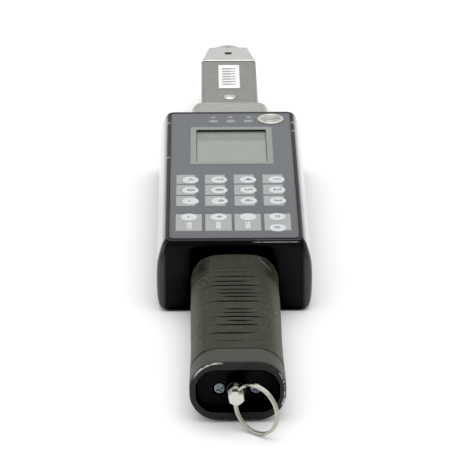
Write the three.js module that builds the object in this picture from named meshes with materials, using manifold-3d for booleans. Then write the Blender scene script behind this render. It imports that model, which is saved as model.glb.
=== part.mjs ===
// Digital torque wrench: grip, instrument housing with keypad, measuring bar and insert head.
// Millimetres. +Z is up, +Y runs from the grip to the insert head, and the housing stands on z = 0.
import * as THREE from "three";
import { mergeVertices } from "three/addons/utils/BufferGeometryUtils.js";
import Module from "manifold-3d";

const wasm = await Module();
wasm.setup();

// General sizes
const GAP = 0.3;
const THIN_GAP = 0.1;
const AXIS_Z = 16.1;

// Housing
const HOUSING_TOP_HALF_WIDTH = 34.4;
const HOUSING_TOP_HALF_LENGTH = 87.1;
const HOUSING_TOP_Z = 36.7;
const HOUSING_CORNER = 3.4;
const HOUSING_WALL = 3.2;
const HOUSING_WIDEST_HALF = 39.1;
const HOUSING_WIDEST_Z = 15;
const HOUSING_LID_THICKNESS = 2.2;
// How far the walls stand out from the top edge's outline: [height, side walls, end walls], from the foot up.
const HOUSING_BULGE = [
  [0, 0.2, 3.9],
  [0.8, 2.3, 4.9],
  [2.4, 3.5, 5.1],
  [6, 4.3, 4.8],
  [10.7, 4.65, 4.3],
  [15.5, 4.75, 3.7],
  [20, 4.7, 3.1],
  [25, 4.3, 2.35],
  [29.3, 3.35, 1.65],
  [33.6, 2, 0.9],
  [35.6, 0.8, 0.4],
  [36.5, -0.2, -0.2],
  [HOUSING_TOP_Z, -1, -1],
];

// Fascia, display and lamps
const FASCIA_WIDTH = 65;
const FASCIA_LENGTH = 169.8;
const FASCIA_THICKNESS = 1.0;
const FASCIA_TOP_Z = 37;
const FASCIA_CORNER = 2.5;
const DISPLAY_Y = 37.1;
const DISPLAY_FRAME_WIDTH = 43.4;
const DISPLAY_FRAME_LENGTH = 51.6;
const DISPLAY_WINDOW_WIDTH = 37.6;
const DISPLAY_WINDOW_LENGTH = 45.4;
const DISPLAY_FRAME_DEPTH = 1.9;
const DISPLAY_GLASS_DEPTH = 1.2;
const LAMP_Y = 71.7;
const LAMP_X = [-9.5, 0, 9.6];
const LAMP_WIDTH = 4.5;
const LAMP_LENGTH = 3.5;
const BADGE_X = 21.8;
const BADGE_Y = 74.5;
const BADGE_RADIUS = 7.3;
const BADGE_THICKNESS = 0.7;

// Keys
const KEY_RADIUS = 4.35;
const KEY_HOLE_RADIUS = 4.55;
const KEY_FLANGE_RADIUS = 5.2;
const KEY_STEM_RADIUS = 2;
const KEY_TOP_Z = 37.4;
const KEY_FLANGE_TOP_Z = 35.7;
const KEY_FLANGE_THICKNESS = 0.7;
const KEY_STEM_END_Z = 33;
const KEY_SEGMENTS = 16;
const KEY_COLUMNS = [-22, -7.1, 8, 22.9];
const KEY_ROWS = [-10.5, -24.2, -38.4];
const FOOT_ROW_COLUMNS = [-22.7, -7.6, 7.3, 22.1];
const FOOT_ROW_Y = -59;
const LAST_KEY = [22.1, -72.9];

// Circuit board
const BOARD_WIDTH = 54;
const BOARD_LENGTH = 158;
const BOARD_THICKNESS = 1.6;
const BOARD_TOP_Z = 32.4;

// Base plate
const BASE_WIDTH = 66.6;
const BASE_LENGTH = 166;
const BASE_THICKNESS = 2.5;
const BASE_SCREW_X = 30.6;
const BASE_SCREW_Y = 76;
const BASE_SCREW_HEAD_RADIUS = 2.8;
const BASE_SCREW_HEAD_DEPTH = 1.7;
const BASE_SCREW_SHANK_RADIUS = 1.5;
const BASE_SCREW_LENGTH = 9;
const POST_SIZE = 7;

// Handle tube, grip and butt
const TUBE_WIDTH = 38.4;
const TUBE_HEIGHT = 25;
const TUBE_CORNER = 6;
const TUBE_WALL = 2;
const TUBE_START_Y = -208;
const TUBE_END_Y = 112;
const GRIP_START_Y = -199.2;
const GRIP_END_Y = -92.8;
const GRIP_WIDTH = 43.8;
const GRIP_HEIGHT = 30.6;
const GRIP_CORNER = 13;
const GRIP_FLARE = 0.45;
const GRIP_FLARE_LENGTH = 16;
const GRIP_STEPS = 6;
const GROOVE_WIDTH = 1.5;
const GROOVE_DEPTH = 0.9;
const GROOVE_YS = [
  -119, -124.4, -129, -133.6, -137.6, -141.6, -146.7, -155.7, -159.7, -164.1, -168.5, -172.9, -181.6,
];
const END_RING_WIDTH = 45.2;
const END_RING_HEIGHT = 30.6;
const END_RING_CORNER = 14;
const END_RING_FRONT_Y = -213.2;
const END_RING_BACK_WIDTH = 44.7;
const END_RING_WALL_DEPTH = 4;
const RECESS_WIDTH = 39;
const RECESS_HEIGHT = 21.9;
const RECESS_CORNER = 9.5;
const RECESS_DEPTH = 2.6;
const END_PLATE_THICKNESS = 1.6;
const END_SCREW_X = 8.5;
const END_SCREW_HEAD_RADIUS = 2.75;
const BOSS_RADIUS = 4.6;
const BOSS_LENGTH = 3.4;

// Eyelet and key ring
const EYELET_ACROSS_FLATS = 7;
const CONNECTOR_X = -0.8;
const EYELET_START_Y = -214.4;
const EYELET_LENGTH = 6.4;
const EYELET_HOLE_Y = -218.2;
const EYELET_HOLE_WAIST = 1.6;
const EYELET_HOLE_MOUTH = 2.7;
const EYELET_STUD_RADIUS = 2;
const RING_MEAN_RADIUS = 12;
const RING_RADIAL_HALF = 0.8;
const RING_AXIAL_HALF = 1.05;
const RING_REST_DEGREES = -38;
const RING_DROP = 3.2;
const RING_AROUND_SEGMENTS = 40;

// Collar, bar cover and beam
const COLLAR_START_Y = 92.8;
const COLLAR_END_Y = 117.2;
const COLLAR_WIDTH = 42.6;
const COLLAR_HEIGHT = 28.8;
const COLLAR_CORNER = 5.5;
const COLLAR_BEVEL = 1.8;
const COVER_START_Y = 117.5;
const COVER_END_Y = 185;
const COVER_WIDTH = 31.8;
const COVER_HEIGHT = 28;
const COVER_CORNER = 2.6;
const COVER_WALL = 2;
const BEAM_WIDTH = 16;
const BEAM_HEIGHT = 14;
const BEAM_START_Y = -58;
const BEAM_END_Y = 184.8;
const GAUGE_LENGTH = 8;
const GAUGE_HEIGHT = 6;
const GAUGE_THICKNESS = 0.4;
const GAUGE_Y = 60;
const PIN_Y = 126;
const PIN_RADIUS = 3.65;
const PIN_DOME = 0.9;
const LABEL_WIDTH = 12;
const LABEL_START_Y = 139.2;
const LABEL_END_Y = 176.1;
const LABEL_THICKNESS = 0.25;

// Insert head and insert tool
const HEAD_START_Y = 185.6;
const HEAD_TAPER_Y = 187;
const HEAD_END_Y = 206.6;
const HEAD_TIP_WIDTH = 23.4;
const SOCKET_WIDTH = 12;
const SOCKET_HEIGHT = 9;
const SOCKET_DEPTH = 16;
const DETENT_Y = 196.6;
const DETENT_HOLE_RADIUS = 2.2;
const DETENT_PIN_RADIUS = 1.9;
const DETENT_PIN_RISE = 1.6;
const DETENT_WELL_DEPTH = 7.4;
const DETENT_PIN_LENGTH = 4.4;
const SPRING_TURNS = 4;
const SPRING_WIRE_RADIUS = 0.22;
const SPRING_COIL_RADIUS = 1.35;
const NECK_WIDTH = 8;
const NECK_HEIGHT = 7;
const TOOL_RING_Y = 230.5;
const TOOL_RING_RADIUS = 7.6;
const TOOL_RING_THICKNESS = 8;
const TOOL_HEXAGON_ACROSS_FLATS = 9.1;

// Batteries
const CELL_RADIUS = 7.1;
const CELL_LENGTH = 50;
const CELL_NIPPLE_RADIUS = 2.7;
const CELL_NIPPLE_LENGTH = 1;
const CELL_X = 8;
const CELL_START_YS = [-204.6, -153.2];
const CONTACT_THICKNESS = 0.8;

const group = new THREE.Group();
group.name = "digital_torque_wrench";

function material(color, roughness, metalness) {
  return new THREE.MeshStandardMaterial({ color, roughness, metalness });
}

// A three.js geometry as a manifold solid.
function solidOf(geometry) {
  const bare = geometry.clone();
  bare.deleteAttribute("normal");
  bare.deleteAttribute("uv");
  const merged = mergeVertices(bare, 1e-4);
  return new wasm.Manifold(
    new wasm.Mesh({
      numProp: 3,
      vertProperties: new Float32Array(merged.attributes.position.array),
      triVerts: new Uint32Array(merged.index.array),
    }),
  );
}

// A manifold solid as a three.js geometry.
function geometryOf(solid) {
  const mesh = solid.getMesh();
  const geometry = new THREE.BufferGeometry();
  geometry.setAttribute("position", new THREE.BufferAttribute(mesh.vertProperties, 3));
  geometry.setIndex(new THREE.BufferAttribute(mesh.triVerts, 1));
  geometry.computeVertexNormals();
  return geometry;
}

function addPiece(name, solid, pieceMaterial, position = [0, 0, 0]) {
  const mesh = new THREE.Mesh(geometryOf(solid), pieceMaterial);
  mesh.name = name;
  mesh.position.set(...position);
  group.add(mesh);
}

function roundedRectangle(width, height, radius) {
  const shape = new THREE.Shape();
  const x = width / 2;
  const y = height / 2;
  shape.moveTo(-x + radius, -y);
  shape.lineTo(x - radius, -y);
  shape.absarc(x - radius, -y + radius, radius, -Math.PI / 2, 0);
  shape.lineTo(x, y - radius);
  shape.absarc(x - radius, y - radius, radius, 0, Math.PI / 2);
  shape.lineTo(-x + radius, y);
  shape.absarc(-x + radius, y - radius, radius, Math.PI / 2, Math.PI);
  shape.lineTo(-x, -y + radius);
  shape.absarc(-x + radius, -y + radius, radius, Math.PI, 1.5 * Math.PI);
  return shape;
}

// A shape drawn in X and Z, extruded along Y from startY to endY.
function alongY(shape, startY, endY, options = {}) {
  const bevel = options.bevel ?? 0;
  const geometry = new THREE.ExtrudeGeometry(shape, {
    depth: endY - startY - 2 * bevel,
    steps: options.steps ?? 1,
    curveSegments: options.curveSegments ?? 4,
    bevelEnabled: bevel > 0,
    bevelSize: bevel,
    bevelThickness: bevel,
    bevelOffset: -bevel,
    bevelSegments: options.bevelSegments ?? 2,
  });
  geometry.rotateX(Math.PI / 2);
  geometry.translate(0, endY - bevel, 0);
  return geometry;
}

// A shape drawn in X and Y, extruded up along Z from startZ to endZ.
function alongZ(shape, startZ, endZ, curveSegments = 6) {
  const geometry = new THREE.ExtrudeGeometry(shape, {
    depth: endZ - startZ,
    bevelEnabled: false,
    curveSegments,
  });
  geometry.translate(0, 0, startZ);
  return geometry;
}

function barAlongY(width, height, radius, startY, endY, centreZ, options = {}) {
  const geometry = alongY(roundedRectangle(width, height, radius), startY, endY, options);
  geometry.translate(0, 0, centreZ);
  return solidOf(geometry);
}

function plate(width, length, radius, centre, startZ, endZ, curveSegments = 4) {
  const geometry = alongZ(roundedRectangle(width, length, radius), startZ, endZ, curveSegments);
  geometry.translate(centre[0], centre[1], 0);
  return solidOf(geometry);
}

function box(low, high) {
  const size = [0, 1, 2].map((i) => high[i] - low[i]);
  const geometry = new THREE.BoxGeometry(...size);
  geometry.translate(...[0, 1, 2].map((i) => (high[i] + low[i]) / 2));
  return solidOf(geometry);
}

// A profile of [radius, height] points turned about the Z axis.
function turnedZ(profile, segments = 16) {
  const points = profile.map(([radius, height]) => new THREE.Vector2(radius, height));
  const geometry = new THREE.LatheGeometry(points, segments);
  geometry.rotateX(Math.PI / 2);
  return geometry;
}

// A profile of [radius, y] points turned about the Y axis through centre x and z.
function turnedY(profile, x, z, segments = 16) {
  const points = profile.map(([radius, height]) => new THREE.Vector2(radius, height));
  const geometry = new THREE.LatheGeometry(points, segments);
  geometry.translate(x, 0, z);
  return solidOf(geometry);
}

function rodZ(radius, startZ, endZ, x, y, segments = 16) {
  const geometry = turnedZ([[0, startZ], [radius, startZ], [radius, endZ], [0, endZ]], segments);
  geometry.translate(x, y, 0);
  return solidOf(geometry);
}

function rodY(radius, startY, endY, x, z, segments = 16) {
  return turnedY([[0, startY], [radius, startY], [radius, endY], [0, endY]], x, z, segments);
}

const keyCentres = [
  ...KEY_ROWS.flatMap((y, row) => KEY_COLUMNS.map((x, column) => ["key_row" + (row + 1) + "_" + (column + 1), x, y])),
  ...FOOT_ROW_COLUMNS.map((x, column) => ["key_row4_" + (column + 1), x, FOOT_ROW_Y]),
  ["key_row5_4", LAST_KEY[0], LAST_KEY[1]],
];

// Housing casting: its plan outline is carried up through the levels of the bulge.
function housingOutside() {
  const outline = roundedRectangle(2 * HOUSING_TOP_HALF_WIDTH, 2 * HOUSING_TOP_HALF_LENGTH, HOUSING_CORNER);
  const levels = HOUSING_BULGE.length - 1;
  const geometry = new THREE.ExtrudeGeometry(outline, {
    depth: levels,
    steps: levels,
    curveSegments: 4,
    bevelEnabled: false,
  });
  const position = geometry.attributes.position;
  for (let i = 0; i < position.count; i += 1) {
    const [height, sideBulge, endBulge] = HOUSING_BULGE[Math.round(position.getZ(i))];
    const x = position.getX(i);
    const y = position.getY(i);
    position.setXYZ(i, x + Math.sign(x) * sideBulge, y + Math.sign(y) * endBulge, height);
  }
  return geometry;
}

function housingBody() {
  const half = HOUSING_TOP_HALF_LENGTH + 5;
  const lidUnder = FASCIA_TOP_Z - FASCIA_THICKNESS - GAP - HOUSING_LID_THICKNESS;
  const inside = new THREE.Shape();
  inside.moveTo(-BASE_WIDTH / 2 - GAP, -1);
  inside.lineTo(BASE_WIDTH / 2 + GAP, -1);
  inside.lineTo(HOUSING_WIDEST_HALF - HOUSING_WALL, HOUSING_WIDEST_Z);
  inside.lineTo(HOUSING_TOP_HALF_WIDTH - HOUSING_WALL, lidUnder);
  inside.lineTo(-HOUSING_TOP_HALF_WIDTH + HOUSING_WALL, lidUnder);
  inside.lineTo(-HOUSING_WIDEST_HALF + HOUSING_WALL, HOUSING_WIDEST_Z);
  let body = solidOf(housingOutside());
  const baseHalf = BASE_LENGTH / 2 + GAP;
  body = body.subtract(solidOf(alongY(inside, -baseHalf, baseHalf)));
  const postLow = BASE_THICKNESS + GAP;
  for (const x of [-BASE_SCREW_X, BASE_SCREW_X]) {
    for (const y of [-BASE_SCREW_Y, BASE_SCREW_Y]) {
      const reach = POST_SIZE / 2;
      const post = box([x - reach, y - reach, postLow], [x + reach, y + reach, lidUnder + 1]);
      body = body.add(post);
      body = body.subtract(rodZ(BASE_SCREW_SHANK_RADIUS + GAP, 0, BASE_SCREW_LENGTH + 2, x, y));
    }
  }
  const recessFloor = FASCIA_TOP_Z - FASCIA_THICKNESS - GAP;
  const recessWidth = FASCIA_WIDTH + 2 * GAP;
  const recessLength = FASCIA_LENGTH + 2 * GAP;
  body = body.subtract(plate(recessWidth, recessLength, FASCIA_CORNER, [0, 0], recessFloor, HOUSING_TOP_Z + 2));
  const openings = [
    box([-30, -80, lidUnder - 2], [30, -3, recessFloor + 1]),
    box([-22.6, 10.4, lidUnder - 2], [22.6, 63.8, recessFloor + 1]),
    box([-13, LAMP_Y - 2.6, lidUnder - 2], [13.6, LAMP_Y + 2.6, recessFloor + 1]),
  ];
  openings.forEach((opening) => {
    body = body.subtract(opening);
  });
  const passage = barAlongY(TUBE_WIDTH + 2 * GAP, TUBE_HEIGHT + 2 * GAP, TUBE_CORNER, -half - 2, half + 2, AXIS_Z);
  addPiece("housing_body", body.subtract(passage), material(0x0c0d0e, 0.12, 0.1));
}

function basePlate() {
  const metal = material(0x17181a, 0.45, 0.2);
  let base = plate(BASE_WIDTH, BASE_LENGTH, 1, [0, 0], 0, BASE_THICKNESS);
  const screwMetal = material(0x8d9094, 0.35, 0.9);
  const inset = 0.2;
  let number = 1;
  for (const x of [-BASE_SCREW_X, BASE_SCREW_X]) {
    for (const y of [-BASE_SCREW_Y, BASE_SCREW_Y]) {
      const sink = turnedZ(
        [
          [0, -1],
          [BASE_SCREW_HEAD_RADIUS + GAP, -1],
          [BASE_SCREW_HEAD_RADIUS + GAP, inset],
          [BASE_SCREW_SHANK_RADIUS + GAP, inset + BASE_SCREW_HEAD_DEPTH],
          [BASE_SCREW_SHANK_RADIUS + GAP, BASE_THICKNESS + 1],
          [0, BASE_THICKNESS + 1],
        ],
        12,
      );
      sink.translate(x, y, 0);
      base = base.subtract(solidOf(sink));
      const screw = turnedZ(
        [
          [0, 0.9],
          [1.1, inset],
          [BASE_SCREW_HEAD_RADIUS, inset],
          [BASE_SCREW_SHANK_RADIUS, inset + BASE_SCREW_HEAD_DEPTH - GAP],
          [BASE_SCREW_SHANK_RADIUS, BASE_SCREW_LENGTH],
          [0, BASE_SCREW_LENGTH + 1],
        ],
        12,
      );
      addPiece("base_screw_" + number, solidOf(screw), screwMetal, [x, y, 0]);
      number += 1;
    }
  }
  addPiece("base_plate", base, metal);
}

function fascia() {
  const low = FASCIA_TOP_Z - FASCIA_THICKNESS;
  let sheet = plate(FASCIA_WIDTH, FASCIA_LENGTH, FASCIA_CORNER, [0, 0], low, FASCIA_TOP_Z, 4);
  const windowWidth = DISPLAY_FRAME_WIDTH + 2 * GAP;
  const windowLength = DISPLAY_FRAME_LENGTH + 2 * GAP;
  sheet = sheet.subtract(plate(windowWidth, windowLength, 2, [0, DISPLAY_Y], low - 1, FASCIA_TOP_Z + 1, 3));
  keyCentres.forEach(([, x, y]) => {
    sheet = sheet.subtract(rodZ(KEY_HOLE_RADIUS, low - 1, FASCIA_TOP_Z + 1, x, y, KEY_SEGMENTS));
  });
  LAMP_X.forEach((x) => {
    const half = [LAMP_WIDTH / 2 + GAP, LAMP_LENGTH / 2 + GAP];
    const hole = box([x - half[0], LAMP_Y - half[1], low - 1], [x + half[0], LAMP_Y + half[1], FASCIA_TOP_Z + 1]);
    sheet = sheet.subtract(hole);
  });
  addPiece("keypad_fascia", sheet, material(0x3c4044, 0.38, 0));
}

function keys() {
  const flangeLow = KEY_FLANGE_TOP_Z - KEY_FLANGE_THICKNESS;
  keyCentres.forEach(([name, x, y]) => {
    const profile = [
      [0, KEY_STEM_END_Z],
      [KEY_STEM_RADIUS, KEY_STEM_END_Z],
      [KEY_STEM_RADIUS, flangeLow],
      [KEY_FLANGE_RADIUS, flangeLow],
      [KEY_FLANGE_RADIUS, KEY_FLANGE_TOP_Z],
      [KEY_RADIUS, KEY_FLANGE_TOP_Z],
      [KEY_RADIUS, KEY_TOP_Z - 0.3],
      [KEY_RADIUS - 0.6, KEY_TOP_Z],
      [0, KEY_TOP_Z],
    ];
    addPiece(name, solidOf(turnedZ(profile, KEY_SEGMENTS)), material(0xc9cec8, 0.4, 0), [x, y, 0]);
  });
}

function display() {
  const centre = [0, DISPLAY_Y];
  const top = FASCIA_TOP_Z + THIN_GAP;
  let frame = plate(DISPLAY_FRAME_WIDTH, DISPLAY_FRAME_LENGTH, 1.8, centre, top - DISPLAY_FRAME_DEPTH, top, 3);
  const window = plate(DISPLAY_WINDOW_WIDTH, DISPLAY_WINDOW_LENGTH, 0.8, centre, 0, top + 1, 2);
  frame = frame.subtract(window);
  addPiece("display_frame", frame, material(0xa4aaa3, 0.4, 0));
  const glassWidth = DISPLAY_WINDOW_WIDTH - 2 * GAP;
  const glassLength = DISPLAY_WINDOW_LENGTH - 2 * GAP;
  const glass = plate(glassWidth, glassLength, 0.6, centre, top - DISPLAY_FRAME_DEPTH, top - DISPLAY_GLASS_DEPTH, 2);
  addPiece("display_glass", glass, material(0xa2a79d, 0.1, 0));
  const moduleTop = top - DISPLAY_FRAME_DEPTH - THIN_GAP;
  const module = plate(42, 50, 0.6, centre, BOARD_TOP_Z + THIN_GAP, moduleTop, 2);
  addPiece("display_module", module, material(0x2b3a33, 0.5, 0));
}

function lamps() {
  ["left", "middle", "right"].forEach((side, i) => {
    const half = [LAMP_WIDTH / 2, LAMP_LENGTH / 2];
    const x = LAMP_X[i];
    const low = BOARD_TOP_Z + THIN_GAP;
    const lamp = box([x - half[0], LAMP_Y - half[1], low], [x + half[0], LAMP_Y + half[1], FASCIA_TOP_Z - THIN_GAP]);
    addPiece("lamp_" + side, lamp, material(0x9a9b9d, 0.25, 0));
  });
}

function badge() {
  const low = FASCIA_TOP_Z + THIN_GAP;
  const profile = [
    [0, low],
    [BADGE_RADIUS, low],
    [BADGE_RADIUS, low + BADGE_THICKNESS - 0.3],
    [BADGE_RADIUS - 0.5, low + BADGE_THICKNESS],
    [0, low + BADGE_THICKNESS],
  ];
  addPiece("badge", solidOf(turnedZ(profile, 24)), material(0xbfc1b9, 0.35, 0.6), [BADGE_X, BADGE_Y, 0]);
}

function circuitBoard() {
  const board = plate(BOARD_WIDTH, BOARD_LENGTH, 2, [0, 0], BOARD_TOP_Z - BOARD_THICKNESS, BOARD_TOP_Z);
  addPiece("circuit_board", board, material(0x1d5a34, 0.5, 0));
}

function handleTube() {
  const outer = barAlongY(TUBE_WIDTH, TUBE_HEIGHT, TUBE_CORNER, TUBE_START_Y, TUBE_END_Y, AXIS_Z);
  const boreWidth = TUBE_WIDTH - 2 * TUBE_WALL;
  const boreHeight = TUBE_HEIGHT - 2 * TUBE_WALL;
  const boreCorner = TUBE_CORNER - TUBE_WALL;
  const bore = barAlongY(boreWidth, boreHeight, boreCorner, TUBE_START_Y - 1, TUBE_END_Y + 1, AXIS_Z);
  addPiece("handle_tube", outer.subtract(bore), material(0x34363a, 0.4, 0.6));
}

// The grip's outline is constant and flares a little towards the butt.
function gripSleeve() {
  const options = { steps: GRIP_STEPS, curveSegments: 5 };
  const outline = roundedRectangle(GRIP_WIDTH, GRIP_HEIGHT, GRIP_CORNER);
  const outside = alongY(outline, GRIP_START_Y, GRIP_END_Y, options);
  const position = outside.attributes.position;
  for (let i = 0; i < position.count; i += 1) {
    const fromButt = position.getY(i) - GRIP_START_Y;
    const flare = Math.max(0, 1 - fromButt / GRIP_FLARE_LENGTH);
    position.setX(i, position.getX(i) * (1 + (2 * GRIP_FLARE * flare * flare) / GRIP_WIDTH));
  }
  outside.translate(0, 0, AXIS_Z);
  const bore = barAlongY(
    TUBE_WIDTH + 2 * GAP,
    TUBE_HEIGHT + 2 * GAP,
    TUBE_CORNER,
    GRIP_START_Y - 1,
    GRIP_END_Y + 1,
    AXIS_Z,
  );
  let sleeve = solidOf(outside).subtract(bore);
  GROOVE_YS.forEach((y) => {
    const half = GROOVE_WIDTH / 2;
    const top = AXIS_Z + GRIP_HEIGHT / 2;
    const low = [-GRIP_WIDTH, y - half, top - GROOVE_DEPTH];
    sleeve = sleeve.subtract(box(low, [GRIP_WIDTH, y + half, top + 2]));
  });
  addPiece("grip_sleeve", sleeve, material(0x42423a, 0.85, 0));
}

function butt() {
  const ringStart = GRIP_START_Y - GAP;
  const ringOptions = { bevel: 0.6, bevelSegments: 1, curveSegments: 6 };
  const outline = roundedRectangle(END_RING_WIDTH, END_RING_HEIGHT, END_RING_CORNER);
  const centreZ = AXIS_Z;
  const outside = alongY(outline, END_RING_FRONT_Y, ringStart, ringOptions);
  const taper = (END_RING_WIDTH - END_RING_BACK_WIDTH) / END_RING_WIDTH / (ringStart - END_RING_FRONT_Y);
  const position = outside.attributes.position;
  for (let i = 0; i < position.count; i += 1) {
    position.setX(i, position.getX(i) * (1 - taper * (position.getY(i) - END_RING_FRONT_Y)));
  }
  outside.translate(0, 0, centreZ);
  const plateFront = END_RING_FRONT_Y + RECESS_DEPTH;
  const recess = [RECESS_WIDTH, RECESS_HEIGHT, RECESS_CORNER, END_RING_FRONT_Y - 1];
  const recessEnd = END_RING_FRONT_Y + END_RING_WALL_DEPTH + END_PLATE_THICKNESS;
  const tubeRoom = [TUBE_WIDTH + 2 * GAP, TUBE_HEIGHT + 2 * GAP, TUBE_CORNER];
  const ring = solidOf(outside)
    .subtract(barAlongY(...recess, recessEnd, centreZ, { curveSegments: 6 }))
    .subtract(barAlongY(...tubeRoom, TUBE_START_Y - GAP, ringStart + 1, AXIS_Z));
  addPiece("end_ring", ring, material(0x3a3b39, 0.4, 0.5));
  const plateWidth = RECESS_WIDTH - 2 * GAP;
  const plateHeight = RECESS_HEIGHT - 2 * GAP;
  const plateBack = plateFront + END_PLATE_THICKNESS;
  let endPlate = barAlongY(plateWidth, plateHeight, RECESS_CORNER - GAP, plateFront, plateBack, centreZ, {
    curveSegments: 5,
  });
  endPlate = endPlate.subtract(rodY(BOSS_RADIUS - 1 + GAP, plateFront - 1, plateBack + 1, CONNECTOR_X, centreZ));
  [-1, 1].forEach((side) => {
    const x = side * END_SCREW_X;
    endPlate = endPlate.subtract(rodY(END_SCREW_HEAD_RADIUS + GAP, plateFront - 1, plateBack + 1, x, centreZ));
    const profile = [
      [0, plateFront + 1],
      [1.0, plateFront + THIN_GAP],
      [END_SCREW_HEAD_RADIUS - 0.4, plateFront + THIN_GAP],
      [END_SCREW_HEAD_RADIUS, plateFront + 0.4],
      [1.5, plateBack + THIN_GAP],
      [1.5, plateBack + 1.1],
      [0, plateBack + 1.1],
    ];
    const name = side < 0 ? "end_screw_left" : "end_screw_right";
    addPiece(name, turnedY(profile, x, centreZ, 16), material(0x5a5f63, 0.35, 0.9));
  });
  addPiece("end_plate", endPlate, material(0x0b0c0e, 0.5, 0));
  const bossFront = plateFront - BOSS_LENGTH + RECESS_DEPTH - 0.6;
  const bossProfile = [
    [EYELET_STUD_RADIUS + GAP, bossFront],
    [BOSS_RADIUS - 0.5, bossFront],
    [BOSS_RADIUS, bossFront + 0.5],
    [BOSS_RADIUS, plateFront - THIN_GAP],
    [BOSS_RADIUS - 1, plateFront - THIN_GAP],
    [BOSS_RADIUS - 1, plateBack + 1],
    [EYELET_STUD_RADIUS + GAP, plateBack + 1],
    [EYELET_STUD_RADIUS + GAP, bossFront],
  ];
  addPiece("connector_boss", turnedY(bossProfile, CONNECTOR_X, centreZ, 20), material(0x8a8478, 0.3, 0.9));
}

function hexagon(acrossFlats, cornerUp) {
  const radius = acrossFlats / Math.sqrt(3);
  const shape = new THREE.Shape();
  for (let i = 0; i < 6; i += 1) {
    const angle = (i * Math.PI) / 3 + (cornerUp ? Math.PI / 6 : 0);
    const point = [radius * Math.cos(angle), radius * Math.sin(angle)];
    if (i === 0) {
      shape.moveTo(...point);
    } else {
      shape.lineTo(...point);
    }
  }
  shape.closePath();
  return shape;
}

// Hexagonal nut-like eyelet with an upright waisted cross hole and a stud into the boss.
function eyelet() {
  const end = EYELET_START_Y;
  const start = end - EYELET_LENGTH;
  const body = alongY(hexagon(EYELET_ACROSS_FLATS, true), start, end, { bevel: 0.5, bevelSegments: 1 });
  const centreZ = AXIS_Z;
  body.translate(CONNECTOR_X, 0, centreZ);
  const stud = rodY(EYELET_STUD_RADIUS, end - 1, end + 4, CONNECTOR_X, centreZ, 12);
  const reach = EYELET_ACROSS_FLATS;
  const mouth = EYELET_HOLE_WAIST + (EYELET_HOLE_MOUTH - EYELET_HOLE_WAIST) * 2;
  const hole = turnedZ([[0, -reach], [mouth, -reach], [EYELET_HOLE_WAIST, 0], [mouth, reach], [0, reach]], 16);
  hole.translate(CONNECTOR_X, EYELET_HOLE_Y, centreZ);
  const solid = solidOf(body).add(stud).subtract(solidOf(hole));
  addPiece("hex_eyelet", solid, material(0xc0c0b5, 0.2, 1));
}

// Split ring: an oval section carried round a circle that stands upright.
function keyRing() {
  const profile = [];
  const sectionSides = 6;
  for (let i = 0; i <= sectionSides; i += 1) {
    const angle = (2 * Math.PI * i) / sectionSides;
    const radial = RING_MEAN_RADIUS + RING_RADIAL_HALF * Math.cos(angle);
    profile.push(new THREE.Vector2(radial, RING_AXIAL_HALF * Math.sin(angle)));
  }
  const geometry = new THREE.LatheGeometry(profile, RING_AROUND_SEGMENTS);
  const across = Math.sqrt(RING_MEAN_RADIUS ** 2 - RING_DROP ** 2);
  geometry.rotateX(Math.PI / 2);
  geometry.rotateX(Math.PI / 2);
  geometry.translate(across, 0, -RING_DROP);
  geometry.rotateZ((RING_REST_DEGREES * Math.PI) / 180);
  addPiece("key_ring", solidOf(geometry), material(0xc8c6be, 0.2, 1), [CONNECTOR_X, EYELET_HOLE_Y, AXIS_Z]);
}

function collar() {
  const options = { bevel: COLLAR_BEVEL, bevelSegments: 2, curveSegments: 4 };
  const outer = barAlongY(
    COLLAR_WIDTH,
    COLLAR_HEIGHT,
    COLLAR_CORNER,
    COLLAR_START_Y - COLLAR_BEVEL,
    COLLAR_END_Y,
    AXIS_Z,
    options,
  );
  const tail = box([-50, COLLAR_START_Y - 10, -50], [50, COLLAR_START_Y, 50]);
  const socket = barAlongY(
    TUBE_WIDTH + 2 * GAP,
    TUBE_HEIGHT + 2 * GAP,
    TUBE_CORNER,
    COLLAR_START_Y - 5,
    TUBE_END_Y + GAP,
    AXIS_Z,
  );
  const passage = barAlongY(BEAM_WIDTH + 4, BEAM_HEIGHT + 4, 2, COLLAR_START_Y, COLLAR_END_Y + 5, AXIS_Z);
  const solid = outer.subtract(tail).subtract(socket).subtract(passage);
  addPiece("collar", solid, material(0xb2b4ad, 0.4, 0.6));
}

function barCover() {
  const outer = barAlongY(COVER_WIDTH, COVER_HEIGHT, COVER_CORNER, COVER_START_Y, COVER_END_Y, AXIS_Z);
  const inner = barAlongY(
    COVER_WIDTH - 2 * COVER_WALL,
    COVER_HEIGHT - 2 * COVER_WALL,
    1,
    COVER_START_Y - 1,
    COVER_END_Y + 1,
    AXIS_Z,
  );
  const coverTop = AXIS_Z + COVER_HEIGHT / 2;
  const pinHole = rodZ(PIN_RADIUS + GAP, AXIS_Z, coverTop + 1, 0, PIN_Y);
  addPiece("bar_cover", outer.subtract(inner).subtract(pinHole), material(0x8f8f8a, 0.42, 0.5));
  const labelLow = coverTop + THIN_GAP;
  const labelCentre = [0, (LABEL_START_Y + LABEL_END_Y) / 2];
  const labelLength = LABEL_END_Y - LABEL_START_Y;
  const label = plate(LABEL_WIDTH, labelLength, 0.5, labelCentre, labelLow, labelLow + LABEL_THICKNESS, 2);
  addPiece("label", label, material(0xf2f2ee, 0.5, 0));
  const pinProfile = [
    [0, AXIS_Z + BEAM_HEIGHT / 2 - 4],
    [PIN_RADIUS, AXIS_Z + BEAM_HEIGHT / 2 - 4],
    [PIN_RADIUS, coverTop + THIN_GAP],
    [PIN_RADIUS * 0.7, coverTop + PIN_DOME * 0.7],
    [0, coverTop + PIN_DOME],
  ];
  addPiece("domed_pin", solidOf(turnedZ(pinProfile, 20)), material(0xc9c7bf, 0.3, 0.9), [0, PIN_Y, 0]);
}

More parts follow.
